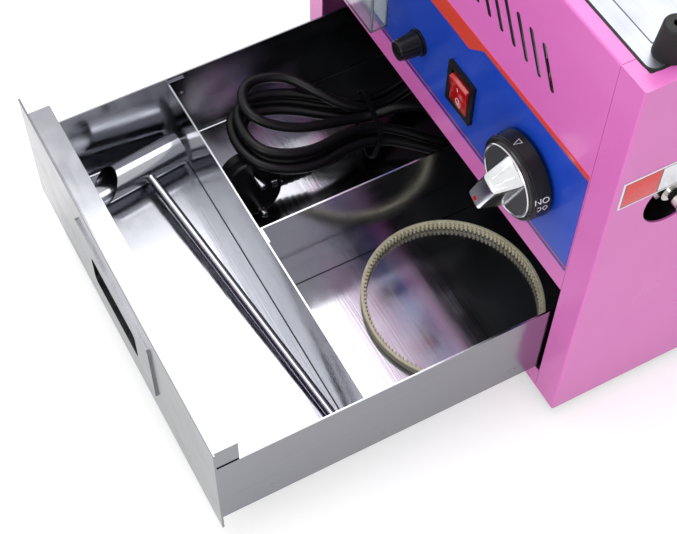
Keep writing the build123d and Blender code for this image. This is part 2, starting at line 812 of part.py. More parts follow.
front_w = opening_w - 2 * front_side_gap
flange_w = tray_w - 1.0
pull_z = base_z + front_z + front_h / 2
with BuildPart() as drawer_front:
    with BuildSketch(Plane.XZ.offset(-panel_back)):
        with Locations((0, base_z + front_z + front_h / 2)):
            Rectangle(front_w, front_h)
        with Locations((0, pull_z)):
            Rectangle(pull_cup_w + 2, pull_cup_h + 2, mode=Mode.SUBTRACT)
    extrude(amount=front_t)
    with BuildSketch(Plane.XY.offset(front_top - tray_t)):
        with Locations((tray_mid, panel_back + flange_d / 2)):
            Rectangle(flange_w, flange_d)
    extrude(amount=tray_t)
    inner_w = tray_w - 2 * tray_t - 0.4
    with BuildSketch(Plane.XY.offset(tray_floor)):
        with Locations((tray_mid, panel_back + flange_d - tray_t / 2)):
            Rectangle(inner_w, tray_t)
    extrude(amount=front_top - tray_floor)
    cap_h = front_top - tray_top - 1.0
    with BuildSketch(Plane.XY.offset(tray_top + 1.0)):
        with Locations(
            (tray_mid + flange_w / 2 - tray_t / 2, panel_back + flange_d / 2),
            (tray_mid - flange_w / 2 + tray_t / 2, panel_back + flange_d / 2),
        ):
            Rectangle(tray_t, flange_d)
    extrude(amount=cap_h)
    fillet(
        drawer_front.edges().filter_by(Axis.X).group_by(Axis.Z)[-1].group_by(Axis.Y)[0], radius=0.5
    )
save(drawer_front, "drawer_front")

with BuildPart() as drawer_pull:
    with BuildSketch(Plane.XZ.offset(-panel_front)):
        with Locations((0, pull_z)):
            RectangleRounded(pull_w, pull_h, 3)
    extrude(amount=pull_t)
    with BuildSketch(Plane.XZ.offset(-panel_front)):
        with Locations((0, pull_z)):
            Rectangle(pull_cup_w + 1.6, pull_cup_h + 1.6)
    extrude(amount=-pull_cup_d)
    with BuildSketch(Plane.XZ.offset(-panel_front + pull_t)):
        with Locations((0, pull_z)):
            RectangleRounded(pull_cup_w, pull_cup_h, 4)
    extrude(amount=-pull_cup_d - pull_t + 0.8, mode=Mode.SUBTRACT)
save(drawer_pull, "drawer_pull")

divider_w = inner_right - inner_left - 0.4
divider_base = tray_floor
tab_end = divider_y + divider_tab
with BuildPart() as cross_divider:
    with BuildSketch(Plane.XY.offset(divider_base)):
        with Locations((tray_mid, divider_y)):
            Rectangle(divider_w, divider_t)
        with Locations(
            (tray_mid + divider_w / 2 - divider_t / 2, divider_y + divider_tab / 2),
            (tray_mid - divider_w / 2 + divider_t / 2, divider_y + divider_tab / 2),
        ):
            Rectangle(divider_t, divider_tab)
    extrude(amount=divider_h)
save(cross_divider, "cross_divider")

long_front = divider_y + divider_t / 2 + 0.2
long_rear = tray_rear - tray_t - 0.2
with BuildPart() as long_divider:
    with BuildSketch(Plane.XY.offset(divider_base)):
        with Locations((long_x, (long_front + long_rear) / 2)):
            Rectangle(divider_t, long_rear - long_front)
        with Locations((long_x + divider_tab / 2, long_front + divider_t / 2)):
            Rectangle(divider_tab, divider_t)
        with Locations((long_x + divider_tab / 2, long_rear - divider_t / 2)):
            Rectangle(divider_tab, divider_t)
    extrude(amount=divider_h)
save(long_divider, "long_divider")

rivet_z = base_z + rivet_up
rivet_y = divider_y + divider_tab * 0.75
rivet_plane = tray_w / 2 - tray_t - 0.2 - divider_t
with BuildPart() as divider_rivets:
    for level in (rivet_z, rivet_z + rivet_pitch):
        for hand in (-1, 1):
            with BuildSketch(Plane.YZ.offset(tray_mid + hand * rivet_plane)):
                with Locations((rivet_y, level)):
                    Circle(rivet_r)
            extrude(amount=-hand * rivet_h)
save(divider_rivets, "divider_rivets")

guide_top = base_z + tray_z - fit_gap
guide_len = body_d - 24
guide_ledge = 14.0
guide_lip = 8.0
with BuildPart() as drawer_guides:
    for edge, inward in ((tray_right, -1), (tray_left, 1)):
        web = edge - inward * (fit_gap + sheet / 2)
        with BuildSketch(Plane.XY.offset(base_z + 2 * sheet)):
            with Locations((web, 0)):
                Rectangle(sheet, guide_len)
        extrude(amount=guide_top + guide_lip - base_z - 2 * sheet)
        with BuildSketch(Plane.XY.offset(guide_top - sheet)):
            with Locations((web + inward * guide_ledge / 2, 0)):
                Rectangle(guide_ledge, guide_len)
        extrude(amount=sheet)
save(drawer_guides, "drawer_guides")

# ---------------------------------------------------------------- drawer contents
scoop_x = inner_left + scoop_inset
scoop_rest = tray_floor + fit_gap
scoop_z = scoop_rest + scoop_r
scoop_rear = divider_y - 3.5
scoop_lean = radians(scoop_turn)
scoop_plane = Plane(
    origin=(scoop_x, scoop_rear, scoop_z),
    x_dir=(cos(scoop_lean), sin(scoop_lean), 0), z_dir=(sin(scoop_lean), -cos(scoop_lean), 0),
)
rod_start = Vector(
    scoop_x + rod_seat * sin(scoop_lean) + scoop_r - scoop_wall, scoop_rear - rod_seat, scoop_z,
)
rod_end = Vector(inner_right - 15.0, divider_y - 5.6, tray_floor + rod_r + fit_gap)
with BuildPart() as scoop:
    with BuildSketch(scoop_plane):
        Circle(scoop_r)
    extrude(amount=scoop_len)
    with BuildLine() as rod_path:
        Line(rod_start, rod_end)
    with BuildSketch(Plane(origin=rod_start, z_dir=rod_path.line % 0)):
        Circle(rod_r)
    sweep(path=rod_path.line)
    with BuildSketch(scoop_plane.offset(1.0)):
        Circle(scoop_r - scoop_wall)
    extrude(amount=scoop_len, mode=Mode.SUBTRACT)
    with BuildSketch(Plane.YZ.offset(scoop_x - 3 * scoop_r)):
        with BuildLine():
            Polyline(
                (scoop_rear - scoop_len - 1, scoop_z + scoop_r + 1),
                (scoop_rear - scoop_len + 15, scoop_z + scoop_r + 1),
                (scoop_rear - scoop_len - 1, scoop_z - scoop_r + 2), close=True,
            )
        make_face()
    extrude(amount=6 * scoop_r, mode=Mode.SUBTRACT)
save(scoop, "scoop")

ring_x = inner_right - ring_a - 2.0
ring_y = front - 22.5
with BuildPart() as spare_belt:
    with BuildSketch(Plane.XY.offset(tray_floor + fit_gap)):
        with Locations((ring_x, ring_y)):
            Ellipse(ring_a, ring_b)
            Ellipse(ring_a - ring_w, ring_b - ring_w, mode=Mode.SUBTRACT)
    extrude(amount=ring_h)
save(spare_belt, "spare_belt")

# ---------------------------------------------------------------- power cord
turn = radians(hank_turn)
tilt = radians(hank_tilt)
hank_plane = Plane(
    origin=(hank_x, hank_y, hank_z),
    x_dir=(-sin(turn) * cos(tilt), -cos(turn) * cos(tilt), sin(tilt)),
    z_dir=(sin(turn) * sin(tilt), cos(turn) * sin(tilt), cos(tilt)),
)
plug_axis = Vector(0.91, -0.055, 0.41).normalized()
plug_exit = Vector(0.111, 0.988, -0.115).normalized()
plug_centre = Vector(-51.6, -256.5, tray_floor + 21.7)
tail_start = plug_centre + plug_exit * plug_relief


def rank_of(run):
    """Loops counted from the middle: the spiral goes out by a half step a run, then in again."""
    return (run if run <= hank_runs / 2 else hank_runs - run) / 2


def run_points(run):
    """One run of the hank: end corner, shoulder, two waist points, shoulder, end corner."""
    side = 1 if run % 2 == 0 else -1
    rank = rank_of(run)
    out = loop_step * rank
    before = loop_step * (rank_of(run - 1) + rank) / 2
    after = loop_step * (rank_of(run + 1) + rank) / 2
    top = 0 if run < hank_runs / 2 else layer_step
    bottom = 0 if run <= hank_runs / 2 else layer_step
    climb = top - bottom
    waist = waist_gap + waist_step * floor(rank)
    wide = loop_r + 1.055 * out
    corner = 0.79 * loop_r + 0.806 * out
    reach = loop_shoulder - 0.146 * out
    across = (corner, wide, waist, waist, wide, corner)
    along = (loop_len + before, reach, waist_len, -waist_len, -reach, -loop_len - after)
    up = (bottom, bottom, bottom + climb / 3, bottom + climb * 2 / 3, top, top)
    turns = (end_turn_r, shoulder_turn_r, waist_turn_r, waist_turn_r, shoulder_turn_r, end_turn_r)
    return [(side * x, side * y, z, r) for x, y, z, r in zip(along, across, up, turns)]


tail = hank_plane.to_local_coords(tail_start)
tail_turn = hank_plane.to_local_coords(tail_start + plug_exit * 17)
route = [(tail.X, tail.Y, tail.Z, 0), (tail_turn.X, tail_turn.Y, tail_turn.Z, 28)]
route += [(-2, 3.6, -6, 27), (-24, 8.2, -0.3, 40)]
route += run_points(0)[4:]
for run in range(1, hank_runs - 1):
    route += run_points(run)
route += run_points(hank_runs - 1)[:3]
route += [
    (10, -waist_gap, layer_step + 1.5, 28), (30, -19, layer_step + 8.6, 50), (46, -40, layer_step + 9, 20),
    (76, -37, layer_step + 8.8, 20), (80, -4, layer_step + 7.8, 20), (50, 8, layer_step + 2.5, 30),
    (waist_len, waist_gap, layer_step, 60), (-4, waist_gap, layer_step + 0.8, 26),
    (-21, 5.7, layer_step + 12.7, 22), (-34, 8.4, layer_step + 12.7, 0),
]
radii = [point[3] for point in route[1:-1]]
with BuildPart() as cord_hank:
    with BuildLine() as cord_path:
        FilletPolyline(*[hank_plane.from_local_coords(Vector(*point[:3])) for point in route], radius=radii)
    cord_line = cord_path.wire()
    with BuildSketch(Plane(origin=cord_line @ 0, z_dir=cord_line % 0)):
        Circle(cord_d / 2)
    sweep(path=cord_line)
save(cord_hank, "cord_hank")

cord_len = cord_line.length
samples = int(cord_len / 2.5)
line_points = [cord_line @ (i / samples) for i in range(samples + 1)]
skip = int(30 / cord_len * samples)
least = min(
    (line_points[i] - line_points[j]).length
    for i in range(samples + 1) for j in range(i + skip, samples + 1)
)
print("cord length", round(cord_len, 1), "least gap to itself", round(least - cord_d, 2))
print("cord bend radii", sorted(set(radii)))
print("cord volume", round(cord_hank.part.volume))
print("cord section times length", round(cord_len * pi * cord_d ** 2 / 4))

plug_plane = Plane(origin=plug_centre, x_dir=plug_exit, z_dir=plug_axis)
relief_plane = Plane(origin=plug_centre + plug_exit * 10, x_dir=plug_axis, z_dir=plug_exit)
with BuildPart() as cord_plug:
    with BuildSketch(plug_plane.offset(-plug_t / 2)):
        Circle(plug_r)
    extrude(amount=plug_t)
    fillet(cord_plug.edges().filter_by(GeomType.CIRCLE), radius=2)
    with Locations(relief_plane):
        Cone(8.5, cord_d / 2 + 1.6, plug_relief - 10, align=(Align.CENTER, Align.CENTER, Align.MIN))
    with BuildSketch(plug_plane.offset(plug_t / 2 - 1)):
        with GridLocations(1, pin_gap, 1, 2):
            Circle(pin_r)
    extrude(amount=pin_len + 1)
save(cord_plug, "cord_plug")

lead_end = cord_line @ 1
lead_dir = cord_line % 1
lead_plane = Plane(origin=lead_end, x_dir=hank_plane.z_dir, z_dir=lead_dir)
with BuildPart() as cord_connector:
    with Locations(lead_plane):
        Cone(
            cord_d / 2 + 1.4, 6.2, connector_relief, align=(Align.CENTER, Align.CENTER, Align.MIN),
        )
    with BuildSketch(lead_plane.offset(connector_relief)):
        RectangleRounded(connector_h, connector_w, 3)
    extrude(amount=connector_len)
save(cord_connector, "cord_connector")

tie_w = 3.0
tie_t = 1.0
tie_low = -11.0
tie_high = layer_step + 5.6
tie_left = -waist_gap - waist_step - cord_d / 2 - 1
tie_right = waist_gap + 2 * waist_step + cord_d / 2 + 1
tie_plane = Plane(origin=hank_plane.origin, x_dir=hank_plane.y_dir, z_dir=hank_plane.x_dir)
with BuildPart() as cord_tie:
    with BuildSketch(tie_plane.offset(-tie_w - 0.5)):
        with Locations(((tie_left + tie_right) / 2, (tie_low + tie_high) / 2)):
            RectangleRounded(tie_right - tie_left + 2 * tie_t, tie_high - tie_low + 2 * tie_t, 7)
            RectangleRounded(tie_right - tie_left, tie_high - tie_low, 6, mode=Mode.SUBTRACT)
    extrude(amount=tie_w)
save(cord_tie, "cord_tie")

# ---------------------------------------------------------------- drive
axis_dir = radians(drive_angle)
motor_x = drive_offset * cos(axis_dir)
motor_y = drive_offset * sin(axis_dir)
belt_z = shelf_top + 10.0
housing_z = belt_z + pulley_t + 14
housing_h = 34.0
cross_plane = Plane.XY.rotated((0, 0, drive_angle - 90))
with BuildPart() as bearing_housing:
    with BuildSketch(cross_plane.offset(housing_z)):
        Rectangle(110, 36)
    extrude(amount=4)
    with BuildSketch(cross_plane.offset(housing_z)):
        Circle(bearing_r + 6)
    extrude(amount=housing_h)
    with BuildSketch(cross_plane.offset(shelf_top)):
        with GridLocations(94, 22, 2, 2):
            Circle(4.5)
    extrude(amount=housing_z - shelf_top)
    with BuildSketch(Plane.XY.offset(housing_z)):
        Circle(spindle_r + 3)
    extrude(amount=housing_h, mode=Mode.SUBTRACT)
    with BuildSketch(Plane.XY.offset(housing_z)):
        Circle(bearing_r)
    extrude(amount=bearing_t, mode=Mode.SUBTRACT)
    with BuildSketch(Plane.XY.offset(housing_z + housing_h - bearing_t)):
        Circle(bearing_r)
    extrude(amount=bearing_t, mode=Mode.SUBTRACT)
save(bearing_housing, "bearing_housing")

with BuildPart() as spindle_bearings:
    for level in (housing_z, housing_z + housing_h - bearing_t):
        with BuildSketch(Plane.XY.offset(level)):
            Circle(bearing_r)
            Circle(spindle_r + spindle_gap, mode=Mode.SUBTRACT)
        extrude(amount=bearing_t)
save(spindle_bearings, "spindle_bearings")

spindle_base = belt_z - 4
spindle_top = head_z + 20
with BuildPart() as spindle_shaft:
    with BuildSketch(Plane.XY.offset(spindle_base)):
        Circle(spindle_r)
    extrude(amount=spindle_top - spindle_base)
    chamfer(spindle_shaft.edges().filter_by(GeomType.CIRCLE), length=0.8)
save(spindle_shaft, "spindle_shaft")


def grooved_pulley(rim_r, bore_r, origin_x, origin_y, level):
    """Flat belt pulley with two rims, bored for its shaft."""
    with BuildPart() as pulley:
        with BuildSketch(Plane.XY.offset(level)):
            with Locations((origin_x, origin_y)):
                Circle(rim_r + groove)
        extrude(amount=pulley_t)
        with BuildSketch(Plane.XY.offset(level + (pulley_t - belt_w) / 2 - 0.4)):
            with Locations((origin_x, origin_y)):
                Circle(rim_r + groove + 1)
                Circle(rim_r, mode=Mode.SUBTRACT)
        extrude(amount=belt_w + 0.8, mode=Mode.SUBTRACT)
        with BuildSketch(Plane.XY.offset(level)):
            with Locations((origin_x, origin_y)):
                Circle(bore_r)
        extrude(amount=pulley_t, mode=Mode.SUBTRACT)
    return pulley


spindle_pulley = grooved_pulley(pulley_r, spindle_r, 0, 0, belt_z)
save(spindle_pulley, "spindle_pulley")
motor_shaft_r = 4.0
motor_pulley = grooved_pulley(motor_pulley_r, motor_shaft_r, motor_x, motor_y, belt_z)
save(motor_pulley, "motor_pulley")

belt_gap = 0.3
belt_lean = atan((pulley_r - motor_pulley_r) / drive_offset)
with BuildPart() as drive_belt:
    belt_plane = Plane(
        origin=(0, 0, belt_z + (pulley_t - belt_w) / 2),
        x_dir=(cos(axis_dir), sin(axis_dir), 0), z_dir=(0, 0, 1),
    )
    with BuildSketch(belt_plane):
        for grow, kind in ((belt_gap + belt_t, Mode.ADD), (belt_gap, Mode.SUBTRACT)):
            big = pulley_r + grow
            small = motor_pulley_r + grow
            with BuildLine():
                start = (big * sin(belt_lean), big * cos(belt_lean))
                far = (drive_offset + small * sin(belt_lean), small * cos(belt_lean))
                Line(start, far)
                ThreePointArc(far, (drive_offset + small, 0), (far[0], -far[1]))
                Line((far[0], -far[1]), (start[0], -start[1]))
                ThreePointArc((start[0], -start[1]), (-big, 0), start)
            make_face(mode=kind)
    extrude(amount=belt_w)
save(drive_belt, "drive_belt")

motor_base = belt_z + pulley_t + 12
with BuildPart() as drive_motor:
    with Locations((motor_x, motor_y, motor_base)):
        Cylinder(motor_r, motor_h, align=(Align.CENTER, Align.CENTER, Align.MIN))
    fillet(drive_motor.edges().filter_by(GeomType.CIRCLE), radius=3)
    with BuildSketch(Plane.XY.offset(motor_base)):
        with Locations((motor_x, motor_y)):
            Circle(9)
    extrude(amount=-4)
    with BuildSketch(Plane.XY.offset(motor_base - 4)):
        with Locations((motor_x, motor_y)):
            Circle(motor_shaft_r + spindle_gap)
    extrude(amount=30, mode=Mode.SUBTRACT)
save(drive_motor, "drive_motor")

with BuildPart() as motor_shaft:
    with BuildSketch(Plane.XY.offset(belt_z - 2)):
        with Locations((motor_x, motor_y)):
            Circle(motor_shaft_r)
    extrude(amount=motor_base - belt_z + 24)
save(motor_shaft, "motor_shaft")

plate_half = motor_r + 6
with BuildPart() as motor_bracket:
    with BuildSketch(Plane.XY.offset(motor_base - 4)):
        with Locations((motor_x, motor_y)):
            Rectangle(2 * plate_half, 2 * plate_half)
            Circle(9.2, mode=Mode.SUBTRACT)
    extrude(amount=4 - 0.2)
    with BuildSketch(Plane.XY.offset(shelf_top)):
        with Locations((motor_x, motor_y)):
            with GridLocations(2 * plate_half - 10, 2 * plate_half - 10, 2, 2):
                Circle(4.5)
    extrude(amount=motor_base - 4 - shelf_top)
save(motor_bracket, "motor_bracket")

# ---------------------------------------------------------------- burner and head
with BuildPart() as burner_ring:
    with BuildSketch(Plane.XZ):
        with Locations((burner_ring_r, burner_z)):
            RectangleRounded(2 * burner_tube_r, 2 * burner_tube_r, 4)
    revolve(axis=Axis.Z)
    with BuildSketch(Plane.XY.offset(shelf_top)):
        with PolarLocations(burner_ring_r, 3, start_angle=drive_angle + 180):
            Circle(3)
    extrude(amount=burner_z - burner_tube_r / 2 - shelf_top)
    with BuildSketch(Plane.XY.offset(boss_z)):
        with Locations((0, -burner_ring_r)):
            Circle(port_r)
    extrude(amount=burner_tube_r + 4)
    with Locations(Plane.XY.offset(burner_z + burner_tube_r)):
        with PolarLocations(burner_ring_r, 24):
            Hole(1.2, depth=5)
save(burner_ring, "burner_ring")

shield_z = deck_z - shield_h + 10
with BuildPart() as heat_shield:
    with BuildSketch(Plane.XY.offset(shield_z)):
        Circle(shield_r)
        Circle(shield_r - sheet, mode=Mode.SUBTRACT)
    extrude(amount=shield_h)
    with BuildSketch(Plane.XY.offset(deck_top + deck_step)):
        Circle(deck_hole_r + 6)
        Circle(shield_r - sheet, mode=Mode.SUBTRACT)
    extrude(amount=sheet)
save(heat_shield, "heat_shield")

with BuildPart() as head_base:
    with BuildSketch(Plane.XZ):
        with BuildLine():
            Polyline(
                (spindle_r, head_z), (head_r - 8, head_z), (head_r, head_z + 5),
                (head_r, head_z + 8), (head_r - 4, head_z + 8), (head_r - 10, head_z + head_wall + 0.5),
                (spindle_r + 8, head_z + head_wall + 0.5), (spindle_r + 8, head_z + 12),
                (spindle_r, head_z + 12), close=True,
            )
        make_face()
    revolve(axis=Axis.Z)
save(head_base, "head_base")

with BuildPart() as head_band:
    with BuildSketch(Plane.XY.offset(head_z + 8)):
        Circle(head_r - 1)
        Circle(head_r - 2.5, mode=Mode.SUBTRACT)
    extrude(amount=band_h)
    with PolarLocations(0, 36):
        with Locations((head_r - 1.5, 0, head_z + 8 + band_h / 2)):
            Box(6, 1.2, band_h - 6, mode=Mode.SUBTRACT)
save(head_band, "head_band")

cover_z = head_z + 8 + band_h
mouth_r = 24.0
with BuildPart() as head_cover:
    with BuildSketch(Plane.XZ):
        with BuildLine():
            Polyline(
                (mouth_r, cover_z + 10), (mouth_r + 2, cover_z + 10), (mouth_r + 14, cover_z + 2),
                (head_r, cover_z + 2), (head_r, cover_z), (mouth_r + 13, cover_z),
                (mouth_r, cover_z + 8), close=True,
            )
        make_face()
    revolve(axis=Axis.Z)
save(head_cover, "head_cover")

post_r = 2.5
post_base = head_z + head_wall + 0.5
post_len = cover_z - post_base
with BuildPart() as head_posts:
    with PolarLocations(head_r - 14, 3, start_angle=30):
        with Locations((0, 0, post_base)):
            Cylinder(post_r, post_len, align=(Align.CENTER, Align.CENTER, Align.MIN))
        with Locations((0, 0, cover_z + 2)):
            Cylinder(4.5, 3, align=(Align.CENTER, Align.CENTER, Align.MIN))
save(head_posts, "head_posts")
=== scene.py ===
# %% [markdown]
# # Dressing a gas heated candy floss machine
#
# The solid model of the machine is finished before this lesson starts: every sheet, knob and
# shaft is in place and moves. Here it gets its finishes, and the pieces that a solid model leaves
# plain: the coiled cord, its plug, the toothed belt, the printed marks. Everything is in metres.

# %% Load the fixed frame
import json
from math import cos, floor, pi, radians, sin, tan

import bmesh
import bpy
from mathutils import Matrix, Vector


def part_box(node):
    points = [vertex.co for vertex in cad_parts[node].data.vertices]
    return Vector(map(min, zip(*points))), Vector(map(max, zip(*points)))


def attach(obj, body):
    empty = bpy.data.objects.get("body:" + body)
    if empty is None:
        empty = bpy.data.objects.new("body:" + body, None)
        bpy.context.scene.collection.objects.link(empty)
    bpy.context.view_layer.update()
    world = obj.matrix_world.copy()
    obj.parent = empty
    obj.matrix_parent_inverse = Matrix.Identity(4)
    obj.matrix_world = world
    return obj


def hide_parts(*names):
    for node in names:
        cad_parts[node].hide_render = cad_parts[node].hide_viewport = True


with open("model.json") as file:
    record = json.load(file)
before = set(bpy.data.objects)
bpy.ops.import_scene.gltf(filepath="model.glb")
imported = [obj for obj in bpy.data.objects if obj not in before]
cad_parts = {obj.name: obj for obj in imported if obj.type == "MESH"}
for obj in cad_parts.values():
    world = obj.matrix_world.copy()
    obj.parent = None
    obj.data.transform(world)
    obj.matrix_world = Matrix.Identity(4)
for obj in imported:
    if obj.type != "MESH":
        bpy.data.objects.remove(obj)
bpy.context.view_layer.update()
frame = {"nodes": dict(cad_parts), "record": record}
scene = bpy.context.scene
MM = 0.001

# %% [markdown]
# ## The camera
#
# The photograph looks down on the machine's front right corner with a long lens. A camera is set
# by three directions at right angles: to its right, up, and back towards the viewer. They were
# solved from the straight edges of the cabinet and drawer, and written down as they came out.

# %% Camera
camera_place = Vector((434.8, -468.7, 759.1)) * MM
camera_right = Vector((0.4561, 0.8895, -0.0281)).normalized()
camera_up = Vector((-0.7428, 0.3979, 0.5385)).normalized()
camera_back = camera_right.cross(camera_up).normalized()
camera_up = camera_back.cross(camera_right)

camera_data = bpy.data.cameras.new("camera")
camera_data.lens = 75.32
camera_data.shift_x = 0.1012
camera_data.shift_y = 0.0295
camera = bpy.data.objects.new("camera", camera_data)
scene.collection.objects.link(camera)
turned = Matrix((camera_right, camera_up, camera_back)).transposed()
camera.matrix_world = Matrix.Translation(camera_place) @ turned.to_4x4()
scene.camera = camera
print("camera at", [round(part, 3) for part in camera_place], "lens", round(camera_data.lens, 2))

# %% [markdown]
# ## The power cord's route
#
# The cord lies in the drawer as a hank: eight runs that cross the tie at the waist and turn back
# at each end, in two layers. Typing some sixty points by hand would be slow and easy to get
# wrong, and a formula keeps every loop one step outside the last. So each run is worked out by a
# loop, in the hank's own plane, and only the plug's lead and the last arch over the hank are
# given one by one. The lengths here are in millimetres, as on the drawing, and turn to metres at
# the end.

# %% Measures of the hank
cord_d = 6.5
tray_floor_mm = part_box("drawer_tray")[0].z / MM + 1
hank_place = Vector((-59.0, -172.0, 55.9))
hank_turn = radians(12.1)
hank_tilt = radians(14.9)
hank_runs = 8
loop_r = 24.0
loop_len = 73.0
loop_shoulder = 50.0
waist_len = 12.0
waist_gap = 3.85
loop_step = 7.25
waist_step = 8.35
wide_growth = 1.055
corner_share = 0.79
corner_growth = 0.806
shoulder_loss = 0.146
layer_step = 7.15
hank_along = Vector(
    (-sin(hank_turn) * cos(hank_tilt), -cos(hank_turn) * cos(hank_tilt), sin(hank_tilt))
)
hank_up = Vector(
    (sin(hank_turn) * sin(hank_tilt), cos(hank_turn) * sin(hank_tilt), cos(hank_tilt))
)
hank_across = hank_up.cross(hank_along)
hank_lean = Vector((9.9, -5.4, -4.7))
lean_along = (5, 55)
lean_across = (32, -22)
print("hank of", hank_runs, "runs, each loop", loop_len, "mm from the tie")

# %% Where the plug lies
plug_place = Vector((-51.6, -256.5, tray_floor_mm + 21.7))
plug_axis = Vector((0.91, -0.055, 0.41)).normalized()
plug_exit = Vector((0.111, 0.988, -0.115)).normalized()
plug_relief = 43.0
plug_tail = plug_place + plug_exit * plug_relief
print("cord leaves the plug at", [round(part, 1) for part in plug_tail])


# %% Points in the hank's plane
def share_between(value, start, end):
    """0 before start, 1 after end, and even in between."""
    return min(max((value - start) / (end - start), 0.0), 1.0)


def in_hank(along, across, up):
    """Point of the machine, in millimetres, from a point in the hank's plane.

    Towards the front, the hank's far side sinks and leans over to the plug.
    """
    lean = share_between(along, *lean_along) * share_between(across, *lean_across)
    point = hank_place + hank_along * along + hank_across * across + hank_up * up
    return point + hank_lean * lean


# %% Runs of the hank
def rank_of(run):
    """Loops counted from the middle: the spiral goes out by half a step a run, then in again."""
    return (run if run <= hank_runs / 2 else hank_runs - run) / 2


def run_points(run):
    """One run of the hank: end corner, shoulder, two waist points, shoulder, end corner."""
    side = 1 if run % 2 == 0 else -1
    rank = rank_of(run)
    out = loop_step * rank
    before = loop_step * (rank_of(run - 1) + rank) / 2
    after = loop_step * (rank_of(run + 1) + rank) / 2
    top = 0 if run < hank_runs / 2 else layer_step
    bottom = 0 if run <= hank_runs / 2 else layer_step
    climb = top - bottom
    waist = waist_gap + waist_step * floor(rank)
    wide = loop_r + wide_growth * out
    corner = corner_share * loop_r + corner_growth * out
    reach = loop_shoulder - shoulder_loss * out
    across = (corner, wide, waist, waist, wide, corner)
    along = (loop_len + before, reach, waist_len, -waist_len, -reach, -loop_len - after)
    up = (bottom, bottom, bottom + climb / 3, bottom + climb * 2 / 3, top, top)
    return [in_hank(side * x, side * y, z) for x, y, z in zip(along, across, up)]


# %% Route of the cord
lead_straight = 17.0
lead_in = ((-2, 3.6, -6), (-24, 8.2, -0.3))
over_hank = (
    (10, -waist_gap, layer_step + 1.5), (30, -19, layer_step + 8.6),
    (46, -40, layer_step + 9), (76, -37, layer_step + 8.8), (80, -4, layer_step + 7.8),
    (50, 8, layer_step + 2.5), (waist_len, waist_gap, layer_step),
    (-4, waist_gap, layer_step + 0.8), (-21, 5.7, layer_step + 12.7),
    (-34, 8.4, layer_step + 12.7),
)
route = [plug_tail, plug_tail + plug_exit * lead_straight]
route += [in_hank(*point) for point in lead_in]
route += run_points(0)[4:]
for run in range(1, hank_runs - 1):
    route += run_points(run)
route += run_points(hank_runs - 1)[:3]
route += [in_hank(*point) for point in over_hank]
print("route points", len(route))

# %% [markdown]
# A NURBS curve of order 3 flows through the route without kinks. Its order and its end points are
# set after the points are there, or it stays a row of straight runs.

# %% Cord as a curve
cord_curve = bpy.data.curves.new("power_cord", "CURVE")
cord_curve.dimensions = "3D"
cord_curve.bevel_depth = cord_d / 2 * MM
cord_curve.bevel_resolution = 4
cord_curve.resolution_u = 10
cord_curve.use_fill_caps = True
cord_line = cord_curve.splines.new("NURBS")
cord_line.points.add(len(route) - 1)
for control, point in zip(cord_line.points, route):
    control.co = (*(point * MM), 1)
cord_line.order_u = 3
cord_line.use_endpoint_u = True
power_cord = bpy.data.objects.new("power_cord", cord_curve)
scene.collection.objects.link(power_cord)
print("cord points", len(cord_line.points), "order", cord_line.order_u)

# %% [markdown]
# ## Finishes as recipes
#
# A shader is a network of small nodes. Written out node by node it is hard to read, so one class
# builds the network. A `Field` is a number that varies over the surface, and adding or
# multiplying fields adds the Math nodes. Colours are mixed by a Mix node, because a Math node
# turns them grey. Every other node comes from the one method `node`, settings first, then the
# values of its sockets.

# %% Numbers that vary over a surface
class Field:
    """A number worked out over the surface by the nodes behind one socket."""

    def __init__(self, finish, socket):
        self.finish = finish
        self.socket = socket

    def math(self, operation, first, second=0.0):
        """One Math node."""
        return self.finish.node("ShaderNodeMath", {"operation": operation}, {0: first, 1: second})

    def __add__(self, other):
        return self.math("ADD", self, other)

    __radd__ = __add__

    def __sub__(self, other):
        return self.math("SUBTRACT", self, other)

    def __rsub__(self, other):
        return self.math("SUBTRACT", other, self)

    def __mul__(self, other):
        return self.math("MULTIPLY", self, other)

    __rmul__ = __mul__

    def __gt__(self, other):
        return self.math("GREATER_THAN", self, other)

    def __lt__(self, other):
        return self.math("LESS_THAN", self, other)

    def __abs__(self):
        return self.math("ABSOLUTE", self)

    def clamped(self):
        """The field kept between 0 and 1."""
        return self.math("MINIMUM", self.math("MAXIMUM", self, 0.0), 1.0)


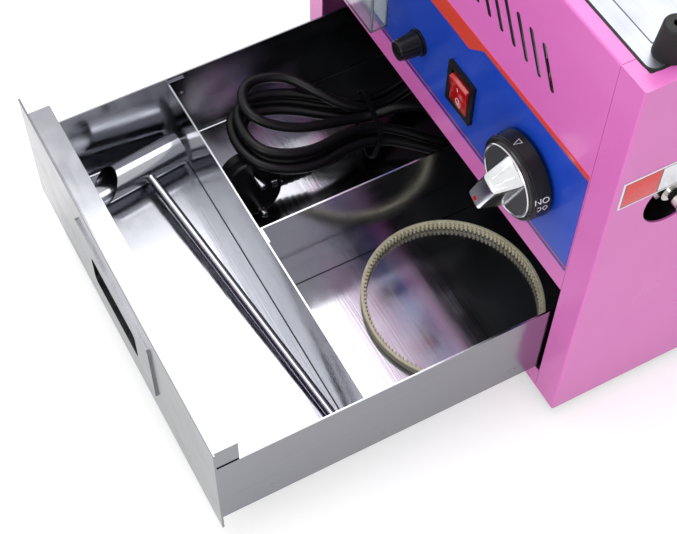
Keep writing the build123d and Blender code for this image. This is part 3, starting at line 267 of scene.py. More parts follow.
# %% Recipe of one finish
class Finish:
    """The nodes of one material, or of the world, that lead to its shader."""

    def __init__(self, name, kind="materials", shader="Principled BSDF"):
        self.owner = getattr(bpy.data, kind).new(name)
        self.owner.use_nodes = True
        self.tree = self.owner.node_tree
        self.shader = self.tree.nodes[shader]

    def feed(self, socket, value):
        """Links a field to a socket, or writes a plain value there."""
        if isinstance(value, Field):
            self.tree.links.new(value.socket, socket)
        else:
            socket.default_value = value

    def node(self, kind, settings=None, inputs=None, output=0):
        """Adds a node: settings first, then the values or links of its sockets."""
        made = self.tree.nodes.new(kind)
        for name, value in (settings or {}).items():
            setattr(made, name, value)
        for name, value in (inputs or {}).items():
            self.feed(made.inputs[name], value)
        return Field(self, made.outputs[output])

    def outputs_of(self, made, *labels):
        """Further outputs of the node behind a field."""
        return [Field(self, made.socket.node.outputs[label]) for label in labels]

    def place(self, scale=(1, 1, 1)):
        """The surface's own point in metres, stretched for a pattern."""
        point = self.node("ShaderNodeTexCoord", output="Object")
        return self.node("ShaderNodeMapping", inputs={"Vector": point, "Scale": scale})

    def axes(self):
        """The surface's own point as three fields, in metres."""
        split = self.node("ShaderNodeSeparateXYZ", inputs={"Vector": self.place()})
        return self.outputs_of(split, "X", "Y", "Z")

    def noise(self, size, detail=3.0, stretch=(1, 1, 1), low=0.0, high=1.0):
        """Cloudy noise of one cloud per size in metres, spread from low to high."""
        scale = tuple(part / size for part in stretch)
        cloud = self.node("ShaderNodeTexNoise", inputs={
            "Vector": self.place(scale), "Scale": 1.0, "Detail": detail,
        })
        return self.node("ShaderNodeMapRange", inputs={
            "Value": cloud, "From Min": 0.3, "From Max": 0.7, "To Min": low, "To Max": high,
        })

    def mixed(self, share, first, second):
        """Colour from the first to the second as share goes from 0 to 1."""
        sockets = {0: share, 6: first, 7: second}
        return self.node("ShaderNodeMix", {"data_type": "RGBA"}, sockets, output=2)

    def bump(self, height, depth, strength):
        """Feeds a height, in shares of a depth in metres, to the shader's normal."""
        raised = self.node(
            "ShaderNodeBump", inputs={"Strength": strength, "Distance": depth, "Height": height}
        )
        self.feed(self.shader.inputs["Normal"], raised)

    def surface(self, **values):
        """Sets the shader's sockets, where coat_weight=0.5 means Coat Weight."""
        for name, value in values.items():
            label = name.replace("_", " ").title().replace("Ior", "IOR")
            self.feed(self.shader.inputs[label], value)
        return self.owner


def tone(red, green, blue, share=1.0):
    """A colour with its alpha, darkened by a share."""
    return (red * share, green * share, blue * share, 1.0)


# %% [markdown]
# ## Pink powder coat
#
# The cabinet is sheet steel with a glossy pink coat. Powder flows out as it is baked and leaves a
# faint orange peel, so a fine low bump breaks the highlight. The colour drifts by a few percent,
# and handling dulls the gloss in soft patches. A clear coat on top gives the sharp, weak mirror
# image. Only the outside is coated: the inside and the cut edges get a near-black primer, which a
# mask finds. It is darker than real primer, a painted shade that darkens the inside and makes
# the front slots look black.

# %% Pink paint
pink = (0.72, 0.160, 0.52)
# Near-black primer: partly the real primer, partly painted shade for the inside.
primer_shade = (0.03, 0.028, 0.03)
inner_faces = (151.4, 159.2, 292.8)
front_cuts = (133.0, 159.8, 290.0)


def within(point, limits):
    """1 where X, Y and Z are inside a box about the cabinet's middle, in millimetres."""
    x, y, z = point
    wide, deep, tall = (limit * MM for limit in limits)
    return (abs(x) < wide) * (abs(y) < deep) * (z < tall)


def pink_paint():
    """Pink powder coat outside; inside, the primed sheet, darkened to a painted shade."""
    finish = Finish("pink_paint")
    drift = finish.noise(size=0.12, detail=2.0)
    smudge = finish.noise(size=0.035, detail=4.0)
    peel = finish.noise(size=0.0035, detail=1.0)
    point = finish.axes()
    # Painted shade: inside faces and cut edges get the near-black primer.
    inside = (within(point, inner_faces) + within(point, front_cuts)).clamped()
    coat = finish.mixed(drift, tone(*pink, 0.95), tone(*pink, 1.04))
    finish.bump(peel, depth=0.00003, strength=0.2)
    return finish.surface(
        base_color=finish.mixed(inside, coat, tone(*primer_shade)),
        roughness=0.27 + smudge * 0.05, coat_weight=(0.28 - smudge * 0.04) * (1 - inside),
        coat_roughness=0.06,
    )


# %% [markdown]
# ## Rolled stainless sheet
#
# The drawer and deck are bare sheet, rolled and then brushed along one direction. Brushing shows
# as fine streaks, so the noise is squeezed hard across the streaks and left long along them. A
# wall that stands across X has to be brushed along Y, or the streaks would end as dots on it, so
# the surface's direction picks one of the two patterns. The drawer's outer faces get a darker copy
# of the steel's colour, a painted shade, which a comparison of the place with the tray's outer
# faces finds.

# %% Brushed steel
tray_skin_x = 132.4 * MM
tray_skin_y = -366.1 * MM
streak_length = 0.012
side_facing = 0.6
outside_shade = 0.72


def brushed_steel(name, shade, rough, streak=0.0009, depth=0.00002, shaded_outside=False):
    """Sheet brushed along its length, in streaks of a width in metres."""
    finish = Finish(name)
    along_x = finish.noise(streak, detail=4.0, stretch=(streak_length, 1, 1))
    along_y = finish.noise(streak, detail=4.0, stretch=(1, streak_length, 1))
    facing = finish.node("ShaderNodeTexCoord", output="Normal")
    facing_x = finish.node("ShaderNodeSeparateXYZ", inputs={"Vector": facing}, output="X")
    side_on = abs(facing_x) > side_facing
    streaks = along_x * (1 - side_on) + along_y * side_on
    cloud = finish.noise(size=0.06, detail=3.0)
    finger = finish.noise(size=0.018, detail=5.0, low=-0.6, high=1.0).clamped()
    finish.bump(streaks, depth, strength=0.5)
    share = streaks * 0.10 + cloud * 0.06
    # Painted shade: the tray's outer faces get a darker copy of the steel's colour.
    if shaded_outside:
        x, y, z = finish.axes()
        share = share + ((abs(x) > tray_skin_x) + (y < tray_skin_y)).clamped() * outside_shade
    return finish.surface(
        base_color=finish.mixed(share.clamped(), tone(*shade), tone(*shade, 0.6)),
        metallic=1.0, roughness=rough + streaks * 0.06 + finger * 0.07,
    )


# %% [markdown]
# ## Plated, turned and cast metals
#
# The knob, the pins and the brass valve are smooth, and each finger leaves a haze on them, so a
# soft noise lifts the roughness. The gas and motor castings come out of sand or under sprayed
# paint, so their grain is a bump that can be seen. One recipe for each kind serves all of its
# pieces.

# %% Bright plate and castings
def bright_plate(name, shade, rough):
    """Chrome, brass and turned parts: a mirror with soft handling marks."""
    finish = Finish(name)
    haze = finish.noise(size=0.012, detail=4.0)
    fine = finish.noise(size=0.0007, detail=2.0)
    finish.bump(fine, depth=0.00001, strength=0.3)
    return finish.surface(
        base_color=finish.mixed(haze, tone(*shade), tone(*shade, 0.86)),
        metallic=1.0, roughness=rough + haze * 0.08,
    )


def cast_metal(name, shade, rough, grain=0.0025, depth=0.0003):
    """Sand cast or sprayed metal, grainy to the touch."""
    finish = Finish(name)
    lumps = finish.noise(grain, detail=5.0)
    patches = finish.noise(size=0.03, detail=3.0)
    finish.bump(lumps, depth, strength=0.6)
    return finish.surface(
        base_color=finish.mixed(patches, tone(*shade), tone(*shade, 0.7)),
        metallic=0.75, roughness=rough + lumps * 0.15,
    )


# %% [markdown]
# ## Plastic and rubber
#
# Moulds are spark eroded, which leaves a grain of about half a millimetre on plastic. Knobs and
# the switch come from polished moulds, so they get a clear coat or a low roughness instead.
# Rubber is the same recipe with a coarser grain and less shine. The belt is cast, beige and waxy.

# %% Moulded plastic and rubber
def moulded(name, shade, rough, grain=0.0006, depth=0.00003, coat=0.0, shine=0.5):
    """Moulded plastic or rubber: a fine grain, and patches that are a little duller."""
    finish = Finish(name)
    speck = finish.noise(grain, detail=2.0)
    patch = finish.noise(size=0.015, detail=3.0)
    finish.bump(speck, depth, strength=0.5)
    return finish.surface(
        base_color=finish.mixed(patch, tone(*shade), tone(*shade, 0.82)),
        roughness=rough + patch * 0.1, coat_weight=coat, coat_roughness=0.1,
        specular_ior_level=shine,
    )


def belt_rubber():
    """Cast polyurethane belt: beige, faintly mottled, with a waxy sheen."""
    finish = Finish("belt_beige")
    mottle = finish.noise(size=0.006, detail=4.0)
    speck = finish.noise(size=0.0008, detail=2.0)
    finish.bump(speck, depth=0.00005, strength=0.5)
    return finish.surface(
        base_color=finish.mixed(mottle, tone(0.74, 0.69, 0.52), tone(0.60, 0.55, 0.38)),
        roughness=0.5 + mottle * 0.15,
    )


# %% [markdown]
# ## Clear covers
#
# The meter has a moulded clear cover, and the fuse a glass tube. Light goes through them, so the
# transmission is high and the roughness low, with a few soft ripples from the mould that bend what
# is behind.

# %% Clear plastic
def clear_plastic(name, tint, rough, clear=1.0):
    """Clear cover or glass, with soft ripples."""
    finish = Finish(name)
    ripple = finish.noise(size=0.008, detail=2.0)
    haze = finish.noise(size=0.02, detail=3.0)
    finish.bump(ripple, depth=0.0001, strength=0.25)
    return finish.surface(
        base_color=finish.mixed(haze, tone(*tint), tone(*tint, 0.93)),
        roughness=rough + haze * 0.05, transmission_weight=clear, ior=1.49,
    )


# %% [markdown]
# ## The printed control sheet
#
# The blue sheet is printed film. Its print is a matter of place: a red stripe along the top, a
# broad red band below it that ends in a slant, and thin lines along the bottom. Each is a
# comparison of the surface's X and Z with a size, which gives 0 or 1, and the masks pick the ink.

# %% Control sheet print
sheet_low, sheet_high = (corner.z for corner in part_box("control_sheet"))
sheet_blue = (0.008, 0.05, 0.42)
sheet_red = (0.66, 0.055, 0.03)
stripe_low = sheet_high - 3.0 * MM
red_band_low = sheet_high - 13.0 * MM
red_band_left = -122.0 * MM
red_band_right = 27.6 * MM
red_band_slant = 1.24
blue_line_low = sheet_low + 1.2 * MM
navy_line_low = sheet_low + 2.4 * MM
red_line_high = sheet_low + 3.8 * MM


def printed_sheet():
    """Blue film with its red and navy print."""
    finish = Finish("control_blue")
    x, y, z = finish.axes()
    stripe = z > stripe_low
    slant = (z - red_band_low) * red_band_slant + red_band_right
    red_band = (z > red_band_low) * (x < slant) * (x > red_band_left)
    red_line = (z > navy_line_low) * (z < red_line_high)
    navy_line = (z > blue_line_low) * (z < navy_line_low)
    drift = finish.noise(size=0.08, detail=2.0)
    film = finish.noise(size=0.0009, detail=2.0)
    finish.bump(film, depth=0.00002, strength=0.3)
    ground = finish.mixed(drift, tone(*sheet_blue), tone(*sheet_blue, 1.25))
    ground = finish.mixed(navy_line, ground, tone(*sheet_blue, 0.25))
    inked = (stripe + red_band + red_line * 0.75).clamped()
    return finish.surface(
        base_color=finish.mixed(inked, ground, tone(*sheet_red)),
        roughness=0.24 + drift * 0.1, coat_weight=0.3, coat_roughness=0.1,
    )


# %% [markdown]
# ## Giving the solid model its finishes
#
# Each node of the solid model keeps its mesh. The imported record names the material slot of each,
# and twenty slots cover the fifty nine nodes, so one table of slots gives them all their finish.
# The gas inlet and the meter's body share a slot with other pieces, and get a finish of their own
# after it.

# %% Finishes by piece
dark = (0.006, 0.006, 0.007)
finishes = {
    "pink_paint": pink_paint(),
    "deck_steel": brushed_steel("deck_steel", (0.335, 0.345, 0.385), 0.26),
    "drawer_steel": brushed_steel("drawer_steel", (0.44, 0.447, 0.485), 0.11, shaded_outside=True),
    "zinc_steel": brushed_steel("zinc_steel", (0.55, 0.56, 0.57), 0.32, streak=0.004),
    "control_blue": printed_sheet(),
    "black_plastic": moulded("black_plastic", dark, 0.24, shine=0.25),
    "gloss_black": moulded("gloss_black", dark, 0.08, shine=0.35),
    "red_plastic": moulded(
        "red_plastic", (0.50, 0.002, 0.004), 0.14, grain=0.003, depth=0.000004, coat=0.3
    ),
    "chrome_knob": bright_plate("chrome_knob", (0.86, 0.87, 0.88), 0.06),
    "clear_plastic": clear_plastic("clear_plastic", (0.88, 0.93, 0.98), 0.05, clear=0.92),
    "dial_white": moulded("dial_white", (0.80, 0.80, 0.77), 0.45),
    "needle_red": moulded("needle_red", (0.50, 0.02, 0.02), 0.4),
    "black_rubber": moulded(
        "black_rubber", (0.014, 0.014, 0.014), 0.5, grain=0.0009, depth=0.0001, shine=0.3
    ),
    "cord_black": moulded(
        "cord_black", (0.004, 0.004, 0.005), 0.30, grain=0.0012, depth=0.00004, shine=0.22
    ),
    "belt_beige": belt_rubber(),
    "brass": bright_plate("brass", (0.72, 0.55, 0.28), 0.22),
    "cast_iron": cast_metal("cast_iron", (0.16, 0.15, 0.15), 0.55),
    "aluminium": brushed_steel("aluminium", (0.74, 0.75, 0.76), 0.25, streak=0.0015),
    "motor_grey": cast_metal("motor_grey", (0.18, 0.19, 0.20), 0.45, grain=0.0012, depth=0.0001),
    "fuse_glass": clear_plastic("fuse_glass", (0.92, 0.95, 0.95), 0.03),
}
for part in frame["record"]["subparts"]:
    slots = frame["nodes"][part["node"]].data.materials
    slots.clear()
    slots.append(finishes[part["material_slot"]])
special = {
    "gas_inlet": bright_plate("nickel_plate", (0.72, 0.70, 0.66), 0.16),
    "meter_body": moulded("meter_pale", (0.50, 0.56, 0.66), 0.3),
}
for node, finish in special.items():
    frame["nodes"][node].data.materials[0] = finish


# %% [markdown]
# ## Helpers for new pieces
#
# Every new piece starts as a bmesh shape near the origin, in millimetres, where its sizes are
# easy to read. One helper then turns it to its place, closes it, scales it to metres and makes it
# an object that rides with a body of the machine.

# %% Placing shapes
right, back, up = Vector((1, 0, 0)), Vector((0, 1, 0)), Vector((0, 0, 1))
front = -back
merge_gap = 0.001
crease_angle = radians(35)


def box_mm(node):
    """Lowest and highest corner of a node of the solid model, in millimetres."""
    return [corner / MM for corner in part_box(node)]


def standing(origin, across, axis):
    """Matrix that lays local X along across and local Z along axis, at an origin."""
    z_axis = axis.normalized()
    x_axis = (across - z_axis * across.dot(z_axis)).normalized()
    y_axis = z_axis.cross(x_axis)
    turned_axes = Matrix((x_axis, y_axis, z_axis)).transposed().to_4x4()
    return Matrix.Translation(origin) @ turned_axes


def make_piece(name, shape, body, slot, place=None, finish=None):
    """Makes an object of a bmesh in millimetres, and frees the bmesh."""
    if place is not None:
        bmesh.ops.transform(shape, matrix=place, verts=shape.verts)
    bmesh.ops.remove_doubles(shape, verts=shape.verts, dist=merge_gap)
    bmesh.ops.recalc_face_normals(shape, faces=shape.faces)
    bmesh.ops.scale(shape, vec=(MM, MM, MM), verts=shape.verts)
    for face in shape.faces:
        face.smooth = True
    mesh = bpy.data.meshes.new(name)
    shape.to_mesh(mesh)
    shape.free()
    mesh.set_sharp_from_angle(angle=crease_angle)
    made = bpy.data.objects.new(name, mesh)
    scene.collection.objects.link(made)
    mesh.materials.append(finish or finishes[slot])
    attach(made, body)
    print(name, "has", len(mesh.polygons), "faces and rides on", body)
    return made


# %% Shapes that come back
def spun(profile, steps=48):
    """Turns a profile of (radius, height) points once round Z."""
    shape = bmesh.new()
    corners = [shape.verts.new((r, 0, h)) for r, h in profile]
    edges = [shape.edges.new(pair) for pair in zip(corners, corners[1:])]
    bmesh.ops.spin(
        shape, geom=corners + edges, cent=(0, 0, 0), axis=up, angle=2 * pi, steps=steps,
        use_merge=True,
    )
    bmesh.ops.remove_doubles(shape, verts=shape.verts, dist=merge_gap)
    return shape


def repeated(shape, count):
    """Copies a shape round Z until it stands there count times."""
    bmesh.ops.spin(
        shape, geom=shape.verts[:] + shape.edges[:] + shape.faces[:], cent=(0, 0, 0), axis=up,
        angle=2 * pi * (count - 1) / count, steps=count - 1, use_duplicate=True,
    )
    return shape


def eased(shape, radius, segments):
    """Rounds every edge."""
    bmesh.ops.bevel(
        shape, geom=shape.edges[:], offset=radius, segments=segments, profile=0.5,
        affect="EDGES", material=-1,
    )
    return shape


def block(wide, deep, tall, base=0.0):
    """A box that stands at a height over its base."""
    shape = bmesh.new()
    bmesh.ops.create_cube(shape, size=1)
    bmesh.ops.scale(shape, vec=(wide, deep, tall), verts=shape.verts)
    bmesh.ops.translate(shape, vec=(0, 0, base + tall / 2), verts=shape.verts)
    return shape


def rounded_box(wide, deep, tall, radius, segments=3):
    """A box on its base, every edge rounded."""
    return eased(block(wide, deep, tall), radius, segments)


def thickened(shape, thick):
    """Gives a flat drawing a thickness."""
    grown = bmesh.ops.extrude_face_region(shape, geom=shape.faces[:])
    raised = [item for item in grown["geom"] if isinstance(item, bmesh.types.BMVert)]
    bmesh.ops.translate(shape, vec=(0, 0, thick), verts=raised)
    return shape


def added(shape, extra, place=None):
    """Adds the faces of one bmesh to another, moved by a matrix, and frees it."""
    if place is not None:
        bmesh.ops.transform(extra, matrix=place, verts=extra.verts)
    carrier = bpy.data.meshes.new("carrier")
    extra.to_mesh(carrier)
    extra.free()
    shape.from_mesh(carrier)
    bpy.data.meshes.remove(carrier)


# %% [markdown]
# ## The plug
#
# A moulded round plug: a thick disc with a finger rim, two round pins on its flat side, spring
# clips for the earth at its two sides, and a ribbed strain relief where the cord comes out. The
# disc and the relief are turned shapes, so a profile is spun. The relief's rings repeat, so a
# loop writes their profile. The clips are bent strips, so thin rounded boxes do.

# %% Plug body and relief
plug_r = 18.0
plug_t = 21.0
plug_matrix = standing(plug_place, plug_exit, plug_axis)
grip_notches = 6
notch_step = 2.4
cord_r = cord_d / 2


def ribbed(count, first, step, ring):
    """Profile of rings in a row: the first one's start, the step to the next, a ring's points."""
    return [
        (first[0] + step[0] * turn + r, first[1] + step[1] * turn + h)
        for turn in range(count) for r, h in ring
    ]


disc = spun([
    (0, -plug_t / 2), (plug_r - 5, -plug_t / 2), (plug_r - 2, -plug_t / 2 + 1.2),
    (plug_r - 0.4, -plug_t / 2 + 3.4), (plug_r - 1.6, -2.5), (plug_r - 1.6, 1.5),
    (plug_r, 4.5), (plug_r, plug_t / 2 - 1), (plug_r - 1, plug_t / 2), (plug_r - 2.4, plug_t / 2),
    (plug_r - 2.9, plug_t / 2 - 1.2), (0, plug_t / 2 - 1.2),
], 64)
for notch in range(grip_notches):
    aside = (notch - (grip_notches - 1) / 2) * notch_step
    foot = Vector((plug_r - 4.6, aside, -plug_t / 2 + 0.1))
    added(disc, rounded_box(5.0, 1.3, 1.3, 0.4, 2), standing(foot, right, Vector((-0.2, 0, -1))))
relief_ring = ((0, 0), (0, 2.9), (-1.3, 3.1), (-1.3, 4.0))
relief_rings = ribbed(7, (8.3, 12.5), (-0.52, 4.2), relief_ring)
relief = spun([
    (0, 8), *relief_rings,
    (cord_r + 1.2, plug_relief - 1), (cord_r + 0.2, plug_relief), (0, plug_relief),
], 32)
added(disc, relief, standing(Vector((0, 0, 0)), up, right))
plug_body = make_piece("plug_body", disc, "drawer", "cord_black", plug_matrix)
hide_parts("cord_plug")

# %% Plug pins and clips
pin_gap = 19.0
pin_r = 2.4
pin_len = 19.0
pins = bmesh.new()
clips = bmesh.new()
for side in (-1, 1):
    added(pins, spun([
        (0, 0), (pin_r, 0), (pin_r, pin_len - 1.6), (pin_r - 0.5, pin_len - 0.3),
        (pin_r - 1.4, pin_len), (0, pin_len),
    ], 24), Matrix.Translation((0, side * pin_gap / 2, plug_t / 2 - 1.2)))
    clip_x = side * (plug_r - 0.9)
    strip = rounded_box(5.0, 1.0, plug_t - 6, 0.3, 2)
    added(clips, strip, Matrix.Translation((clip_x, 0, -plug_t / 2 + 5)))
    hook = rounded_box(1.0, 4.6, 5.5, 0.3, 2)
    added(clips, hook, standing(Vector((clip_x, 0, plug_t / 2 - 0.9)), up, -right * side))
chrome = finishes["chrome_knob"]
plug_pins = make_piece("plug_pins", pins, "drawer", "zinc_steel", plug_matrix, chrome)
plug_clips = make_piece("plug_clips", clips, "drawer", "zinc_steel", plug_matrix, chrome)


# %% [markdown]
# ## The connector
#
# The other end is a moulded appliance connector: a tapered relief that grows into a flat body
# with three slots in its mouth, drawn as thin dark patches of painted shade. Its direction is read
# from the last two points of the cord.

# %% Connector
lead_dir = (route[-1] - route[-2]).normalized()
connector_matrix = standing(route[-1], hank_up, lead_dir)
relief_len = 20.0
body_len = 32.0
body_wide, body_deep = 17.3, 26.8
grip_bars = 5
grip_step = 3.4
slot_places = ((2.2, -7.0), (2.2, 7.0), (-3.0, 0.0))
connector = rounded_box(body_wide, body_deep, body_len, 2.6, 4)
bmesh.ops.translate(connector, vec=(0, 0, relief_len), verts=connector.verts)
boot_ring = ((0, 0), (0.4, 3.0), (-0.5, 3.3), (-0.5, 4.2))
boot_rings = ribbed(4, (cord_r + 1.2, 1.0), (0.45, 4.6), boot_ring)
boot = spun([
    (0, 0), (cord_r + 0.2, 0), *boot_rings,
    (6.2, relief_len), (7.4, relief_len + 3), (0, relief_len + 3),
], 32)
added(connector, boot)
for grip in range(grip_bars):
    for face_x in (-8.5, 8.5):
        bar = rounded_box(0.9, 14.0, 1.4, 0.35, 2)
        added(connector, bar, Matrix.Translation((face_x, 0, relief_len + 8 + grip * grip_step)))
connector_body = make_piece("connector_body", connector, "drawer", "cord_black", connector_matrix)
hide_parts("cord_connector")
# Painted shade: thin dark patches stand in for the slot openings.
slot_shades = bmesh.new()
for slot_x, slot_y in slot_places:
    slot_patch = rounded_box(5.4, 2.4, 0.12, 0.05, 1)
    added(slot_shades, slot_patch, Matrix.Translation((slot_x, slot_y, relief_len + body_len)))
gloss = finishes["gloss_black"]
connector_slot_shade = make_piece(
    "connector_slot_shade", slot_shades, "drawer", "cord_black", connector_matrix, gloss
)

# %% [markdown]
# ## The cord's finish
#
# A cord is free: it doesn't belong to one stiff shape. Here it gets its black finish and rides
# with the drawer, and the solid model's own hank is hidden.

cord_curve.materials.append(finishes["cord_black"])
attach(power_cord, "drawer")
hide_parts("cord_hank")

# %% [markdown]
# ## The spare belt
#
# The spare belt is a flat toothed band that lies on edge in the drawer, pushed a little out of
# round. One band profile is spun into a ring, one tooth is copied round it by a spin that
# duplicates, and both are then stretched to the oval.

# %% Toothed belt
belt_low, belt_high = box_mm("spare_belt")
belt_a = (belt_high.x - belt_low.x) / 2
belt_b = (belt_high.y - belt_low.y) / 2
belt_tall = 5.6
belt_thick = 2.2
belt_inner = belt_a - belt_thick
belt_edge = 0.4
tooth_deep = 1.5
tooth_wide = 1.6
tooth_count = 120
band_steps = 168
band = spun([
    (belt_inner, belt_edge), (belt_inner, belt_tall - belt_edge),
    (belt_inner + belt_edge, belt_tall), (belt_a - belt_edge, belt_tall),
    (belt_a, belt_tall - belt_edge), (belt_a, belt_edge), (belt_a - belt_edge, 0),
    (belt_inner + belt_edge, 0), (belt_inner, belt_edge),
], band_steps)
tooth = rounded_box(tooth_deep + 0.6, tooth_wide, belt_tall - 0.5, 0.35, 1)
tooth_middle = belt_inner - tooth_deep / 2 + 0.3
bmesh.ops.translate(tooth, vec=(tooth_middle, 0, 0.25), verts=tooth.verts)
added(band, repeated(tooth, tooth_count))
bmesh.ops.scale(band, vec=(1, belt_b / belt_a, 1), verts=band.verts)
belt_middle = Vector(((belt_low.x + belt_high.x) / 2, (belt_low.y + belt_high.y) / 2, belt_low.z))
belt_matrix = Matrix.Translation(belt_middle)
toothed_belt = make_piece("toothed_belt", band, "drawer", "belt_beige", belt_matrix)
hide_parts("spare_belt")

# %% [markdown]
# ## Marks on the gas knob
#
# The knob's black skirt carries a triangle, ON and two small flames, printed on its conical rim.
# Each is drawn flat, thin as print, with X round the rim and Y along the axis, and then wrapped:
# the X of each point becomes an angle at the rim's radius.

# %% Flat marks
print_thick = 0.12
print_sink = 0.02
knob_low, knob_high = box_mm("knob_skirt")
knob_mid = Vector(((knob_low.x + knob_high.x) / 2, 0, (knob_low.z + knob_high.z) / 2))
skirt_back = knob_high.y
skirt_r = (knob_high.x - knob_low.x) / 2
skirt_taper = tan(radians(6.0))


def lettering(words, tall):
    """A generic word as a flat mesh, its middle at the origin."""
    text = bpy.data.curves.new(words, "FONT")
    text.body = words
    text.size = tall * 1.35
    text.align_x = "CENTER"
    text.align_y = "CENTER"
    carrier = bpy.data.objects.new(words, text)
    scene.collection.objects.link(carrier)
    bpy.context.view_layer.update()
    mesh = bpy.data.meshes.new_from_object(carrier)
    shape = bmesh.new()
    shape.from_mesh(mesh)
    bpy.data.objects.remove(carrier)
    bpy.data.meshes.remove(mesh)
    bpy.data.curves.remove(text)
    return shape


def opened(shape, line):
    """Leaves a ring of the line's width of a flat face."""
    middle = shape.faces[:]
    bmesh.ops.inset_region(shape, faces=middle, thickness=line, use_boundary=True)
    bmesh.ops.delete(shape, geom=middle, context="FACES_ONLY")
    return shape


def outlined(sides, radius, line, stretch=1.0, point=0.0):
    """An outlined polygon or drop: a filled ring of the line's width."""
    shape = bmesh.new()
    bmesh.ops.create_circle(shape, cap_ends=True, segments=sides, radius=radius)
    tip = max(shape.verts, key=lambda corner: corner.co.y)
    tip.co.y += point
    bmesh.ops.scale(shape, vec=(1, stretch, 1), verts=shape.verts)
    return opened(shape, line)


def wrapped(shape, angle, depth):
    """Wraps a drawing round the skirt, its middle at an angle and a depth from the front."""
    for corner in shape.verts:
        axial = depth - corner.co.y
        skirt_here = skirt_r - (skirt_back - knob_low.y - axial) * skirt_taper
        radius = skirt_here + corner.co.z - print_sink
        bearing = angle + corner.co.x / skirt_r
        around = Vector((radius * cos(bearing), 0, radius * sin(bearing)))
        corner.co = knob_mid + around + back * (knob_low.y + axial)
    return shape


# %% [markdown]
# The knob is turned so that ON lies on its right, seen from the front, and reads from the front
# towards the panel. So the word is drawn a quarter turn round before it is wrapped.

# %% Wrap the marks
white_print = moulded("white_print", (0.85, 0.85, 0.85), 0.5)
quarter = Matrix.Rotation(pi / 2, 4, "Z")
word_angle, word_depth = radians(15), 4.9
flame_angle, flame_depth = radians(2), 5.0
arrow_angle, arrow_depth = radians(99), 5.4
marks = bmesh.new()
word = lettering("ON", 4.0)
bmesh.ops.transform(word, matrix=quarter, verts=word.verts)
added(marks, wrapped(thickened(word, print_thick), word_angle, word_depth))
for aside in (-1.7, 1.7):
    flame = outlined(12, 1.4, 0.36, stretch=1.1, point=1.0)
    flame_place = quarter @ Matrix.Translation((aside, 0, 0))
    bmesh.ops.transform(flame, matrix=flame_place, verts=flame.verts)
    added(marks, wrapped(thickened(flame, print_thick), flame_angle, flame_depth))
arrow = outlined(3, 2.1, 0.4, stretch=1.45)
added(marks, wrapped(thickened(arrow, print_thick), arrow_angle, arrow_depth))
make_piece("knob_marks", marks, "knob", "black_plastic", finish=white_print)

# %% [markdown]
# ## The knob's face
#
# The face is a plated disc with a rim, two dark inlays and a wide grip across its middle. The
# grip starts as a box. Its outer end is pulled in to a wedge, steeper at the top than at the
# bottom, and its edges are rounded. A half disc is a circle cut by a plane, so bisect_plane makes
# the inlays.

# %% Knob face
grip_low, grip_high = box_mm("knob_grip")
grip_tall = grip_high.y - grip_low.y
grip_turn = radians(68)
face_r = 20.8
plate_top = 0.8
grip_wide = 18.0
grip_reach = face_r - 1.5
pulled_side = 0.60
pulled_top = 0.62
pulled_foot = 0.88
across_knob = Vector((cos(grip_turn), 0, sin(grip_turn)))
face_matrix = standing(Vector((knob_mid.x, grip_high.y, knob_mid.z)), across_knob, front)
satin_chrome = bright_plate("satin_chrome", (0.84, 0.85, 0.87), 0.15)
face = spun([
    (0, -0.6), (face_r - 0.2, -0.6), (face_r, -0.2), (face_r, 1.3), (face_r - 0.4, 1.7),
    (face_r - 0.9, 1.7), (face_r - 1.3, 1.2), (face_r - 1.3, 0.9), (0, 0.9),
], 96)
grip = block(2 * grip_reach, grip_wide, grip_tall - plate_top, plate_top)
for corner in grip.verts:
    if corner.co.z > grip_tall / 2:
        corner.co.y *= pulled_side
        corner.co.x *= pulled_top if corner.co.x > 0 else pulled_foot
added(face, eased(grip, 1.8, 4))

# %% Ridges on the grip
slope_top = Vector((grip_reach * pulled_top, 0, grip_tall))
slope_root = Vector((grip_reach, 0, plate_top))
slope_up = (slope_top - slope_root).normalized()
slope_out = back.cross(slope_up)
ridge_gap = 2.7
ridge_spread = 0.14
for lane in (-1, 1):
    lane_dir = (slope_up - back * lane * ridge_spread).normalized()
    lane_foot = (slope_root + slope_top) / 2 + back * lane * ridge_gap - slope_out * 0.45
    added(face, rounded_box(10.5, 1.3, 1.0, 0.4, 2), standing(lane_foot, lane_dir, slope_out))
knob_face = make_piece("knob_face", face, "knob", "chrome_knob", face_matrix, satin_chrome)
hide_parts("knob_grip")

# %% Inlays, pointer and bead
inlay_grey = moulded("inlay_grey", (0.045, 0.045, 0.05), 0.25)
inlay_gap = 0.7
bead_depth = 2.6
inlays = bmesh.new()
for side in (-1, 1):
    half = bmesh.new()
    bmesh.ops.create_circle(half, cap_ends=True, segments=72, radius=grip_reach)
    bmesh.ops.bisect_plane(
        half, geom=half.verts[:] + half.edges[:] + half.faces[:],
        plane_co=(0, side * (grip_wide / 2 + inlay_gap), 0), plane_no=(0, -side, 0),
        clear_outer=True,
    )
    added(inlays, thickened(half, 0.25), Matrix.Translation((0, 0, 0.85)))
make_piece("knob_inlays", inlays, "knob", "black_plastic", face_matrix, inlay_grey)
pointer_place = face_matrix @ Matrix.Translation((-12.2, 0, grip_tall - 0.35))
pointer = rounded_box(5.0, 2.6, 0.5, 0.2, 2)
make_piece("knob_pointer", pointer, "knob", "red_plastic", pointer_place)
bead = spun([(23.2, 0), (23.75, 0.15), (23.95, 0.5), (23.75, 0.85), (23.2, 1.0), (23.2, 0)], 96)
bead_place = standing(Vector((knob_mid.x, knob_low.y + bead_depth, knob_mid.z)), right, front)
make_piece("skirt_bead", bead, "knob", "black_plastic", bead_place, gloss)

# %% [markdown]
# ## The switch
#
# The rocker is a glossy red shell whose face is a shallow V: O on the pressed half, I on the
# raised half. Its side view is drawn as a few points, extruded to the rocker's width and rounded.
# The marks lie on the two slopes, so each gets its own plane, worked out from the points of the
# side view.

